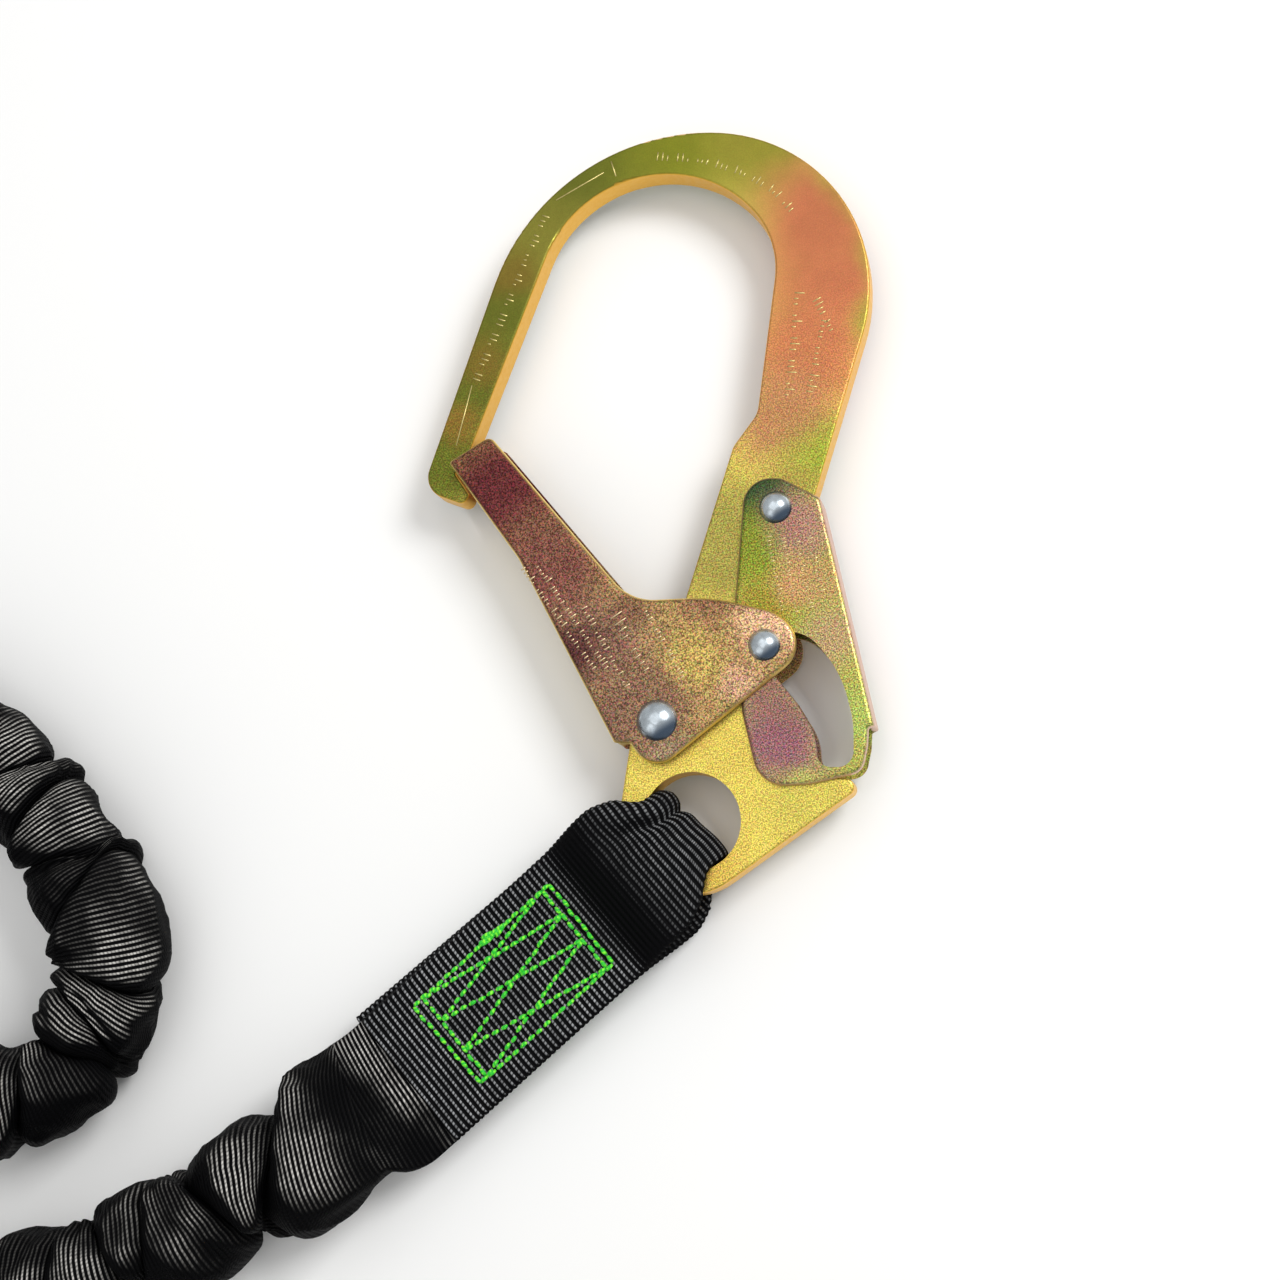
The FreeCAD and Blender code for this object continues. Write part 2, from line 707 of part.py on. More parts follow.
hook_plate(
    "hook_body",
    HOOK_OUTLINE,
    "plate_thickness",
    [
        ("Sizes.eye_x", "Sizes.eye_y", "Sizes.eye_radius"),
        ("Sizes.gate_pivot_x", "Sizes.gate_pivot_y", "Sizes.gate_shank + Sizes.running"),
        ("Sizes.lever_pivot_x", "Sizes.lever_pivot_y", "Sizes.lever_shank + Sizes.running"),
    ],
)
folded_channel(
    "hook_gate",
    GATE_OUTLINE,
    GATE_BEND,
    GATE_GAP,
    "gate_inside",
    "gate_outside",
    "gate_bend",
    [
        ("Sizes.gate_pivot_x", "Sizes.gate_pivot_y", "Sizes.gate_shank"),
        ("Sizes.lock_rivet_x", "Sizes.lock_rivet_y", "Sizes.lock_shank"),
    ],
)
folded_channel(
    "lock_lever",
    LEVER_OUTLINE,
    LEVER_BEND,
    LEVER_GAP,
    "lever_inside",
    "lever_outside",
    "lever_bend",
    [("Sizes.lever_pivot_x", "Sizes.lever_pivot_y", "Sizes.lever_shank")],
    LEVER_SLOT,
)
rivet("gate_pivot_rivet", GATE_RIVET, "gate_outside", placed(*gate_pivot))
rivet("gate_lock_rivet", LOCK_RIVET, "gate_outside", placed(*lock_rivet))
rivet("lever_pivot_rivet", LEVER_RIVET, "lever_outside", placed(*lever_pivot))
spacers("gate_spacers", "1", "Sizes.spacer_low", "Sizes.spacer_high", placed(*gate_pivot))
coil_spring("gate_spring", placed(*gate_pivot, 0.0, COIL_SEAT))
leaf_spring("lever_spring", LEAF_OUTLINE, "Sizes.leaf_width")

# ---------------------------------------------------------------- snap hook at the harness end
route_end = Vector(*LEG_ROUTE[-1], 0)
snap_heading = math.radians(SNAP_LOOP_TURN - 180.0)
snap_eye = route_end + Vector(math.cos(snap_heading), math.sin(snap_heading), 0) * size("loop_end")
snap_turn = SNAP_LOOP_TURN - 270.0
snap_place = placed(snap_eye.x, snap_eye.y, SNAP_LEVEL, snap_turn)
snap_place = snap_place.multiply(placed(-size("snap_eye_x"), -size("snap_eye_y")))
snap_lock_place = snap_place.multiply(placed(size("snap_lock_x"), size("snap_lock_y")))
snap_lever_place = snap_place.multiply(placed(size("snap_lever_x"), size("snap_lever_y")))
small = size("snap_scale")
lever_bend_ends = scaled([(*point, 0.0) for point in LEVER_BEND], small, gate_pivot)

hook_plate(
    "snap_body",
    SNAP_OUTLINE,
    "snap_thickness",
    [
        ("Sizes.snap_eye_x", "Sizes.snap_eye_y", "Sizes.snap_eye_radius"),
        ("0", "0", "Sizes.gate_shank * Sizes.snap_rivets + Sizes.running"),
        (
            "Sizes.snap_lever_x",
            "Sizes.snap_lever_y",
            "Sizes.lever_shank * Sizes.snap_rivets + Sizes.running",
        ),
    ],
).Placement = snap_place
folded_channel(
    "snap_gate",
    SNAP_GATE_OUTLINE,
    SNAP_GATE_BEND,
    SNAP_GATE_GAP,
    "snap_gate_inside",
    "snap_gate_outside",
    "snap_gate_bend",
    [
        ("0", "0", "Sizes.gate_shank * Sizes.snap_rivets"),
        ("Sizes.snap_lock_x", "Sizes.snap_lock_y", "Sizes.lock_shank * Sizes.snap_scale"),
    ],
).Placement = snap_place
folded_channel(
    "snap_lever",
    scaled(LEVER_OUTLINE, small, gate_pivot),
    [(x, y) for x, y, _ in lever_bend_ends],
    scaled(LEVER_GAP, small, gate_pivot),
    "snap_lever_inside",
    "snap_lever_outside",
    "snap_lever_bend",
    [("Sizes.snap_lever_x", "Sizes.snap_lever_y", "Sizes.lever_shank * Sizes.snap_rivets")],
    scaled(LEVER_SLOT, small, gate_pivot),
).Placement = snap_place
rivet("snap_gate_rivet", GATE_RIVET, "snap_gate_outside", snap_place, size("snap_rivets"))
rivet("snap_lock_rivet", LOCK_RIVET, "snap_gate_outside", snap_lock_place, small)
rivet("snap_lever_rivet", LEVER_RIVET, "snap_lever_outside", snap_lever_place, size("snap_rivets"))
spacers(
    "snap_spacers",
    "Sizes.snap_rivets",
    "Sizes.snap_thickness / 2 + 0.2",
    "Sizes.snap_gate_inside - 0.1",
    snap_place,
)
leaf_spring(
    "snap_lever_spring",
    scaled(LEAF_OUTLINE, small, gate_pivot),
    "Sizes.leaf_width * 0.8",
).Placement = snap_place

# ---------------------------------------------------------------- webbing and leg
hook_loop_place = placed(*eye, 0.0, LOOP_TURN)
snap_loop_place = placed(snap_eye.x, snap_eye.y, SNAP_LEVEL, SNAP_LOOP_TURN)
webbing_loop("hook_end_loop", hook_loop_place)
webbing_loop("harness_end_loop", snap_loop_place)
box_stitch("hook_end_stitching", hook_loop_place)
box_stitch("harness_end_stitching", snap_loop_place)
route = leg_path()
hollow = size("jacket_radius") - size("jacket_wall")
leg_piece("leg_jacket", leg_tube(route, size("jacket_radius")).cut(leg_tube(route, hollow)))
leg_piece("energy_absorber_core", leg_tube(route, size("core_radius")))
doc.recompute()

# ---------------------------------------------------------------- checks and export
NODES = [
    "hook_body",
    "hook_gate",
    "gate_pivot_rivet",
    "gate_lock_rivet",
    "gate_spacers",
    "gate_spring",
    "lock_lever",
    "lever_pivot_rivet",
    "lever_spring",
    "hook_end_loop",
    "hook_end_stitching",
    "leg_jacket",
    "energy_absorber_core",
    "harness_end_loop",
    "harness_end_stitching",
    "snap_body",
    "snap_gate",
    "snap_gate_rivet",
    "snap_lock_rivet",
    "snap_spacers",
    "snap_lever",
    "snap_lever_rivet",
    "snap_lever_spring",
]
for item in doc.Objects:
    if "Invalid" in item.State or "Error" in item.State:
        raise RuntimeError(f"{item.Label} failed: {item.State}")
os.makedirs("parts", exist_ok=True)
for node in NODES:
    shape = doc.getObjectsByLabel(node)[0].Shape
    if shape.isNull() or not shape.isValid() or not shape.Solids:
        raise RuntimeError(f"{node} has no valid solid")
    print(node, len(shape.Solids), round(shape.Volume))
    shape.exportStep(f"parts/{node}.step")
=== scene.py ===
import json
import math
from collections import namedtuple
import bpy
import numpy as np
from mathutils import Matrix, Vector, noise


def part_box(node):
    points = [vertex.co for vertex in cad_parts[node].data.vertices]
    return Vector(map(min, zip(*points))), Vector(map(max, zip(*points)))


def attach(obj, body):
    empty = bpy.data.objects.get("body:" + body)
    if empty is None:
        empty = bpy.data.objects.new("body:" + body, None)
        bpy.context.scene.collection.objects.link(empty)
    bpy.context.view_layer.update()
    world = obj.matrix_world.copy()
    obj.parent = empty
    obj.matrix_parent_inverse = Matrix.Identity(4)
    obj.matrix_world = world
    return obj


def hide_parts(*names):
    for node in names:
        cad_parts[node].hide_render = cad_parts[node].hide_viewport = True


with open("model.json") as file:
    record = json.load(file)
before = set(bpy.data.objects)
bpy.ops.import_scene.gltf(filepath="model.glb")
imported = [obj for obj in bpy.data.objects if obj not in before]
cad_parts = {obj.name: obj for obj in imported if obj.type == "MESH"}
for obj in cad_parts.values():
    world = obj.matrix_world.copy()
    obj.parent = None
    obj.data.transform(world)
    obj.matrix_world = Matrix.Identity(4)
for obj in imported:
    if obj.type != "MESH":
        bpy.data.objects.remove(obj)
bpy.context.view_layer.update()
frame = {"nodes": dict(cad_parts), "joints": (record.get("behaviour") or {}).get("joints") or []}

MM = 0.001

# ---------------------------------------------------------------- places, from the frame
joints = {joint["name"]: Vector(joint["pos_m"]) for joint in frame["joints"]}
HOOK_EYE = joints["webbing_swing"]
SNAP_EYE = joints["snap_swing"]
PLATE_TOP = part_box("hook_body")[1].z
GATE_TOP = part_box("hook_gate")[1].z
LEVER_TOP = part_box("lock_lever")[1].z
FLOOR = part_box("leg_jacket")[0].z
LEG_RADIUS = (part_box("leg_jacket")[1].z - FLOOR) / 2
LOOP_TURN = math.radians(217.6)
SNAP_LOOP_TURN = math.radians(183.3)


# ---------------------------------------------------------------- camera and light
CAMERA_PLACE = (0.10534, -0.22013, 0.60111)
CAMERA_RIGHT = (0.97734, -0.05846, -0.20344)
CAMERA_UP = (0.09351, 0.98148, 0.16721)
LENS = 58.4
SENSOR = 36.0
MIDDLE = (-0.05, -0.15, 0.0)
BRIGHT_SIDE = (0.4, 0.3, 0.87)
FLOOR_REACH = 20.0


def add_camera():
    data = bpy.data.cameras.new("camera")
    data.lens = LENS
    data.sensor_width = SENSOR
    camera = bpy.data.objects.new("camera", data)
    right = Vector(CAMERA_RIGHT).normalized()
    back = right.cross(Vector(CAMERA_UP)).normalized()
    turn = Matrix((right, back.cross(right), back)).transposed().to_4x4()
    camera.matrix_world = Matrix.Translation(CAMERA_PLACE) @ turn
    bpy.context.scene.collection.objects.link(camera)
    bpy.context.scene.camera = camera


def area_light(name, place, target, energy, size):
    data = bpy.data.lights.new(name, "AREA")
    data.energy = energy
    data.size = size
    light = bpy.data.objects.new(name, data)
    light.location = place
    light.rotation_euler = (Vector(target) - Vector(place)).to_track_quat("-Z", "Y").to_euler()
    bpy.context.scene.collection.objects.link(light)


def add_light():
    """Three soft lamps and a pale world that is a little brighter on the key's side."""
    area_light("key", (0.75, 0.35, 0.95), MIDDLE, 9.6, 0.5)
    area_light("fill", (-0.7, -0.9, 0.9), MIDDLE, 1.5, 0.9)
    area_light("top", (-0.22, 0.10, 1.2), (-0.05, -0.05, 0.0), 2.2, 1.1)
    world = bpy.data.worlds.new("studio")
    world.use_nodes = True
    nodes = world.node_tree.nodes
    links = world.node_tree.links
    towards = nodes.new("ShaderNodeVectorMath")
    towards.operation = "DOT_PRODUCT"
    towards.inputs[1].default_value = BRIGHT_SIDE
    links.new(nodes.new("ShaderNodeTexCoord").outputs["Generated"], towards.inputs[0])
    fade = nodes.new("ShaderNodeMapRange")
    fade.interpolation_type = "SMOOTHSTEP"
    for name, value in (("From Min", -0.3), ("From Max", 0.95), ("To Min", 0.50), ("To Max", 0.62)):
        fade.inputs[name].default_value = value
    links.new(towards.outputs["Value"], fade.inputs["Value"])
    nodes["Background"].inputs["Color"].default_value = (1.0, 1.0, 1.0, 1.0)
    links.new(fade.outputs["Result"], nodes["Background"].inputs["Strength"])
    bpy.context.scene.world = world
    bpy.context.scene.view_settings.view_transform = "Standard"


def add_floor():
    corners = [(-1, -1), (1, -1), (1, 1), (-1, 1)]
    mesh = bpy.data.meshes.new("floor")
    points = [(x * FLOOR_REACH, y * FLOOR_REACH, FLOOR - 0.1 * MM) for x, y in corners]
    mesh.from_pydata(points, [], [(0, 1, 2, 3)])
    floor = bpy.data.objects.new("floor", mesh)
    bpy.context.scene.collection.objects.link(floor)
    nodes = Nodes("pale_floor")
    nodes.shader.inputs["Base Color"].default_value = (0.93, 0.93, 0.92, 1.0)
    nodes.shader.inputs["Roughness"].default_value = 0.9
    mesh.materials.append(nodes.material)


# ---------------------------------------------------------------- material helpers
class Nodes:
    """A material with a Principled shader and short ways to add nodes to it."""

    def __init__(self, name):
        self.material = bpy.data.materials.new(name)
        self.material.use_nodes = True
        self.tree = self.material.node_tree
        self.shader = self.tree.nodes["Principled BSDF"]

    def add(self, kind, **settings):
        node = self.tree.nodes.new(kind)
        for name, value in settings.items():
            setattr(node, name, value)
        return node

    def feed(self, socket, value):
        if isinstance(value, bpy.types.NodeSocket):
            self.tree.links.new(value, socket)
        elif isinstance(value, tuple) and len(value) == 3 and socket.type == "RGBA":
            socket.default_value = (*value, 1.0)
        else:
            socket.default_value = value

    def math(self, operation, first, second=0.0, third=None):
        node = self.add("ShaderNodeMath", operation=operation)
        self.feed(node.inputs[0], first)
        self.feed(node.inputs[1], second)
        if third is not None:
            self.feed(node.inputs[2], third)
        return node.outputs[0]

    def noise(self, scale, detail, roughness=0.5, *, vector, colour=False):
        node = self.add("ShaderNodeTexNoise")
        node.inputs["Scale"].default_value = scale
        node.inputs["Detail"].default_value = detail
        node.inputs["Roughness"].default_value = roughness
        self.feed(node.inputs["Vector"], vector)
        return node.outputs["Color" if colour else "Fac"]

    def ramp(self, value, low, high, to_low=0.0, to_high=1.0):
        node = self.add("ShaderNodeMapRange", interpolation_type="SMOOTHSTEP")
        self.feed(node.inputs["Value"], value)
        self.feed(node.inputs["From Min"], low)
        self.feed(node.inputs["From Max"], high)
        self.feed(node.inputs["To Min"], to_low)
        self.feed(node.inputs["To Max"], to_high)
        return node.outputs["Result"]

    def mix(self, share, first, second, blend="MIX"):
        node = self.add("ShaderNodeMix", data_type="RGBA", blend_type=blend)
        self.feed(node.inputs["Factor"], share)
        self.feed(node.inputs[6], first)
        self.feed(node.inputs[7], second)
        return node.outputs[2]

    def bump(self, height, distance, strength, normal=None):
        node = self.add("ShaderNodeBump")
        node.inputs["Strength"].default_value = strength
        node.inputs["Distance"].default_value = distance
        self.feed(node.inputs["Height"], height)
        if normal is not None:
            self.feed(node.inputs["Normal"], normal)
        return node.outputs["Normal"]

    def place(self):
        """The object's own coordinates, in metres."""
        return self.add("ShaderNodeTexCoord").outputs["Object"]

    def cloth_place(self):
        """The two parts of the mesh's UV: across the cloth, and along it in metres."""
        split = self.add("ShaderNodeSeparateXYZ")
        self.feed(split.inputs[0], self.add("ShaderNodeUVMap", uv_map="UVMap").outputs["UV"])
        return split.outputs["X"], split.outputs["Y"]

    def facing(self, direction):
        """How far the surface is turned towards a direction, as a cosine."""
        towards = self.add("ShaderNodeVectorMath", operation="DOT_PRODUCT")
        self.feed(towards.inputs[0], self.add("ShaderNodeNewGeometry").outputs["Normal"])
        towards.inputs[1].default_value = direction
        return towards.outputs["Value"]

    def wave(self, turns):
        """0 to 1 and back once in each turn."""
        return self.math("ABSOLUTE", self.math("SINE", self.math("MULTIPLY", turns, math.pi)))


ROUGHNESS = 0.40
ROUGHNESS_SPREAD = 0.08
ZONE_DRIFT = 12 * MM
PIT_DEPTH = 0.10 * MM


def chromate(name, base, side, zones, grain, fade):
    """Yellow chromate over steel: soft zones of tint, mottling, and a grain.
    zones are (x and y in mm, radius in mm, colour, strength); side is a painted highlight colour, given to
    upright walls and rounded edges in place of the highlights they would catch; the grain fades out between
    the two values of y in fade, in metres."""
    nodes = Nodes(name)
    place = nodes.place()
    split = nodes.add("ShaderNodeSeparateXYZ")
    nodes.feed(split.inputs[0], place)
    drift = nodes.add("ShaderNodeVectorMath", operation="MULTIPLY_ADD")
    nodes.feed(drift.inputs[0], nodes.noise(45.0, 3.0, vector=place, colour=True))
    drift.inputs[1].default_value = (ZONE_DRIFT, ZONE_DRIFT, 0.0)
    nodes.feed(drift.inputs[2], place)
    flat = nodes.add("ShaderNodeVectorMath", operation="MULTIPLY")
    nodes.feed(flat.inputs[0], drift.outputs[0])
    flat.inputs[1].default_value = (1.0, 1.0, 0.0)
    tint = base
    for (x, y), radius, colour, strength in zones:
        gap = nodes.add("ShaderNodeVectorMath", operation="DISTANCE")
        nodes.feed(gap.inputs[0], flat.outputs[0])
        gap.inputs[1].default_value = (x * MM + ZONE_DRIFT / 2, y * MM + ZONE_DRIFT / 2, 0.0)
        share = nodes.ramp(gap.outputs["Value"], 0.2 * radius * MM, radius * MM, strength, 0.0)
        tint = nodes.mix(share, tint, colour)
    cloud = nodes.ramp(nodes.noise(90.0, 4.0, 0.6, vector=place), 0.3, 0.7, 0.93, 1.06)
    strong = nodes.ramp(split.outputs["Y"], *fade, grain, 0.12 * grain)
    speckle = nodes.noise(2300.0, 2.0, 0.75, vector=place)
    fine = nodes.math("MULTIPLY_ADD", nodes.ramp(speckle, 0.36, 0.66, -1.0, 1.6), strong, 1.0)
    shade = nodes.add("ShaderNodeCombineXYZ")
    for axis in range(3):
        nodes.feed(shade.inputs[axis], nodes.math("MULTIPLY", fine, cloud))
    tint = nodes.mix(1.0, tint, shade.outputs[0], "MULTIPLY")
    motley = nodes.noise(1700.0, 1.0, 0.5, vector=place, colour=True)
    tint = nodes.mix(nodes.math("MULTIPLY", strong, 1.3), tint, motley, "OVERLAY")
    # painted highlight: upright walls and rounded edges are painted in the brighter side colour
    upright = nodes.add("ShaderNodeSeparateXYZ")
    nodes.feed(upright.inputs[0], nodes.add("ShaderNodeNewGeometry").outputs["Normal"])
    level = nodes.math("ABSOLUTE", upright.outputs["Z"])
    tint = nodes.mix(nodes.ramp(level, 0.35, 0.93, 0.9, 0.0), tint, side)
    nodes.feed(nodes.shader.inputs["Base Color"], tint)
    nodes.shader.inputs["Metallic"].default_value = 0.9
    smooth, dull = ROUGHNESS - ROUGHNESS_SPREAD, ROUGHNESS + ROUGHNESS_SPREAD
    rough = nodes.ramp(nodes.noise(700.0, 3.0, vector=place), 0.3, 0.7, smooth, dull)
    nodes.feed(nodes.shader.inputs["Roughness"], rough)
    pits = nodes.bump(speckle, PIT_DEPTH, 0.35)
    waves = nodes.bump(nodes.noise(140.0, 3.0, vector=place), PIT_DEPTH, 0.4, pits)
    nodes.feed(nodes.shader.inputs["Normal"], waves)
    return nodes.material


# the side whose faces get the painted dark reflection
DARK_REFLECTION_SIDE = (0.5, -0.86, 0.0)


def bright_metal(name, colour, roughness, dark_reflection=None):
    """Bright zinc or drawn wire with faint marks; the optional dark colour is a painted reflection, given
    to faces turned to one set side for the dark crescent a dome reflects.
    """
    nodes = Nodes(name)
    place = nodes.place()
    marks = nodes.noise(420.0, 5.0, 0.65, vector=place)
    tint = nodes.mix(nodes.ramp(marks, 0.35, 0.7), colour, tuple(0.72 * part for part in colour))
    # painted reflection: faces turned to that side are painted dark blue-grey
    if dark_reflection:
        tint = nodes.mix(nodes.ramp(nodes.facing(DARK_REFLECTION_SIDE), 0.12, 0.6), tint, dark_reflection)
    nodes.feed(nodes.shader.inputs["Base Color"], tint)
    nodes.shader.inputs["Metallic"].default_value = 1.0
    rough = nodes.ramp(marks, 0.3, 0.75, roughness, roughness + 0.16)
    nodes.feed(nodes.shader.inputs["Roughness"], rough)
    dents = nodes.bump(nodes.noise(260.0, 3.0, vector=place), PIT_DEPTH, 0.5)
    nodes.feed(nodes.shader.inputs["Normal"], dents)
    return nodes.material


RIB_PITCH = 1.9 * MM
RIB_DASH = 1.15 * MM
SLEEVE_PITCH = 1.45 * MM
SLEEVE_DASH = 0.9 * MM
THREAD_TWIST = 1.5 * MM
BLACK = (0.002, 0.002, 0.0024)
# the key lamp's direction, used to paint highlight on the webbing's light lines
LIGHT_FROM = (0.42, 0.40, 0.81)


def webbing_cloth(name, pitch, dash_pitch, dash_low, depth, light, even):
    """Black ribbed webbing. UV is in metres, u across the width and v along the length. The light lines on
    the rib crests, in the colour light, are partly the binder threads' own pale colour and partly a painted
    highlight. They are painted brighter where the cloth faces the key lamp, weaker where the painted sheen
    is darker, and nearly gone in the painted shade of the folds, where the mesh's point attribute of
    painted light is 0. dash_low is the light left between dashes, even the light left where the painted
    sheen is darker."""
    nodes = Nodes(name)
    across, along = nodes.cloth_place()
    rib_turns = nodes.math("DIVIDE", along, pitch)
    rib = nodes.wave(rib_turns)
    shift = nodes.math("MULTIPLY", nodes.math("FLOOR", rib_turns), 0.37)
    dash_turns = nodes.math("ADD", nodes.math("DIVIDE", across, dash_pitch), shift)
    slant = nodes.math("ADD", dash_turns, nodes.math("MULTIPLY", rib_turns, 0.6))
    dash = nodes.wave(slant)
    dashes = nodes.ramp(dash, 0.25, 0.95, dash_low, 1.0)
    # light lines on the rib crests: partly the binder threads' colour, partly painted highlight
    thread = nodes.math("MULTIPLY", nodes.ramp(rib, 0.72, 0.98), dashes)
    place = nodes.place()
    # painted highlight: the lines are brighter where the surface faces the key lamp
    facing = nodes.ramp(nodes.facing(LIGHT_FROM), 0.52, 0.82)
    # painted sheen: broad noise patches where the light lines are darker
    painted_sheen = nodes.ramp(nodes.noise(40.0, 2.0, vector=place), 0.40, 0.60, even, 1.0)
    # random patches where the light lines are dimmer
    patchy = nodes.ramp(nodes.noise(420.0, 3.0, vector=place), 0.3, 0.7, 0.45, 1.0)
    # painted shade of the folds, read from the mesh's point attribute
    open_to_light = nodes.add("ShaderNodeAttribute", attribute_name="painted_light").outputs["Fac"]
    lit = thread
    for share in (facing, painted_sheen, patchy, open_to_light):
        lit = nodes.math("MULTIPLY", lit, share)
    # black cloth with the painted light lines mixed in
    nodes.feed(nodes.shader.inputs["Base Color"], nodes.mix(lit, BLACK, light))
    nodes.shader.inputs["Roughness"].default_value = 0.6
    nodes.shader.inputs["Specular IOR Level"].default_value = 0.04
    height = nodes.math("ADD", rib, nodes.math("MULTIPLY", dash, 0.28))
    nodes.feed(nodes.shader.inputs["Normal"], nodes.bump(height, depth, 1.0))
    return nodes.material


def sewing_thread(name, colour, bright):
    """Bonded thread, twisted along the stitch: u goes once round it and v is in metres along it."""
    nodes = Nodes(name)
    across, along = nodes.cloth_place()
    twist = nodes.wave(nodes.math("ADD", nodes.math("DIVIDE", along, THREAD_TWIST), across))
    patches = nodes.noise(900.0, 2.0, vector=nodes.place())
    lit = nodes.math("MULTIPLY", nodes.ramp(twist, 0.45, 0.95), nodes.ramp(patches, 0.35, 0.6))
    nodes.feed(nodes.shader.inputs["Base Color"], nodes.mix(lit, colour, bright))
    nodes.shader.inputs["Roughness"].default_value = 0.42
    nodes.shader.inputs["Sheen Weight"].default_value = 0.2
    nodes.feed(nodes.shader.inputs["Normal"], nodes.bump(twist, 0.12 * MM, 0.8))
    return nodes.material


# ---------------------------------------------------------------- mesh helpers
def grid_faces(rows, columns):
    """Quads of a tube of rows rings with columns points each, closed round the ring."""
    faces = []
    for row in range(rows - 1):
        for column in range(columns):
            after = (column + 1) % columns
            low = row * columns
            high = low + columns
            faces.append((low + column, low + after, high + after, high + column))
    return faces


def grid_uv(across, along):
    """Corner UVs of grid_faces and two end caps: across has one value more than a ring has points."""
    columns = len(across) - 1
    uv = np.zeros((len(along) - 1, columns, 4, 2))
    for corner, (row_shift, column_shift) in enumerate([(0, 0), (0, 1), (1, 1), (1, 0)]):
        uv[:, :, corner, 0] = across[column_shift : columns + column_shift][None, :]
        uv[:, :, corner, 1] = along[row_shift : len(along) - 1 + row_shift][:, None]
    return np.concatenate([uv.reshape(-1, 2), np.zeros((2 * columns, 2))])


def end_caps(rows, columns):
    """The two faces that close a tube made by grid_faces."""
    last = (rows - 1) * columns
    return [tuple(range(columns))[::-1], tuple(last + column for column in range(columns))]


def placed(points, origin, turned):
    """Points in mm in a loop's own frame, moved to its eye and turned, in metres."""
    cos, sin = math.cos(turned), math.sin(turned)
    x = points[..., 0] * cos - points[..., 1] * sin
    y = points[..., 0] * sin + points[..., 1] * cos
    return np.stack([x, y, points[..., 2]], -1) * MM + np.array(origin)


def mesh_object(name, points, faces, material, corner_uv=None, painted_light=None):
    mesh = bpy.data.meshes.new(name)
    mesh.from_pydata([tuple(point) for point in points], [], faces)
    mesh.update()
    if corner_uv is not None:
        layer = mesh.uv_layers.new(name="UVMap")
        layer.data.foreach_set("uv", np.asarray(corner_uv, np.float32).ravel())
    # the point attribute of painted light, low where shade is painted
    if painted_light is not None:
        mesh.attributes.new("painted_light", "FLOAT", "POINT").data.foreach_set("value", painted_light.ravel())
    mesh.polygons.foreach_set("use_smooth", [True] * len(mesh.polygons))
    mesh.materials.append(material)
    piece = bpy.data.objects.new(name, mesh)
    bpy.context.scene.collection.objects.link(piece)
    return piece


def smooth_step(value, low, high):
    share = np.clip((value - low) / (high - low), 0.0, 1.0)
    return share * share * (3.0 - 2.0 * share)


def bell(value, middle, width):
    return np.exp(-(((value - middle) / width) ** 2))


# ---------------------------------------------------------------- the leg's line
LEG_ROUTE = [
    (-0.0895, -0.2314),
    (-0.1070, -0.2449),
    (-0.1290, -0.2570),
    (-0.1540, -0.2680),
    (-0.1850, -0.2820),
    (-0.2190, -0.2860),
    (-0.2570, -0.3000),
    (-0.3020, -0.3030),
    (-0.3360, -0.2780),
    (-0.3380, -0.2360),
    (-0.3050, -0.2110),
    (-0.2650, -0.2180),
    (-0.2260, -0.2340),
    (-0.1930, -0.2230),
    (-0.1780, -0.1960),
    (-0.1890, -0.1650),
    (-0.2090, -0.1360),
    (-0.2360, -0.1100),
    (-0.2730, -0.0980),
    (-0.3180, -0.1080),
    (-0.3540, -0.1400),
    (-0.3760, -0.1860),
    (-0.3850, -0.2380),
    (-0.3790, -0.2900),
    (-0.3500, -0.3330),
    (-0.3030, -0.3560),
    (-0.2520, -0.3590),
    (-0.2080, -0.3680),
    (-0.1720, -0.3660),
]


def line_points():
    """Points along the smooth line of the leg, read from its spline."""
    curve = bpy.data.curves.new("leg_line", "CURVE")
    curve.dimensions = "3D"
    curve.resolution_u = 24
    spline = curve.splines.new("NURBS")
    spline.points.add(len(LEG_ROUTE) - 1)
    for point, (x, y) in zip(spline.points, LEG_ROUTE):
        point.co = (x, y, FLOOR + LEG_RADIUS, 1.0)
    spline.order_u = 3
    spline.use_endpoint_u = True
    holder = bpy.data.objects.new("leg_line", curve)
    mesh = bpy.data.meshes.new_from_object(holder)
    points = np.array([vertex.co for vertex in mesh.vertices])
    bpy.data.meshes.remove(mesh)
    bpy.data.objects.remove(holder)
    bpy.data.curves.remove(curve)
    return points


class Line:
    """A path that gives its places and headings by length along it."""

    def __init__(self, points):
        self.points = points
        steps = np.linalg.norm(np.diff(points, axis=0), axis=1)
        self.reach = np.concatenate([[0.0], np.cumsum(steps)])
        self.length = self.reach[-1]
        self.heading = np.gradient(points, self.reach, axis=0)

    def at(self, distance):
        inside = np.clip(distance, 0.0, self.length)
        place = np.stack([np.interp(inside, self.reach, self.points[:, axis]) for axis in range(3)], -1)
        heading = np.stack([np.interp(inside, self.reach, self.heading[:, axis]) for axis in range(3)], -1)
        heading /= np.linalg.norm(heading, axis=-1, keepdims=True)
        place = place + heading * (distance - inside)[..., None]
        return place, heading


# ---------------------------------------------------------------- ruched sleeve
AROUND = 72
PER_LOBE = 20
LAST_CREASE = 62.0
NARROWEST_LOBE = 3.2
SEAM_GAP = 0.4 * MM
END_RINGS = 8
CLOTH_GIRTH = 90 * MM
WRINKLE = 13 * MM
RESTING = 2.25 * MM
SQUASH = 2 * MM
FLAT_WIDTH = 22.9 * MM
FLAT_THICK = 1.5 * MM
FRONT_PLY = 0.9 * MM
FLAT_REACH = 27 * MM


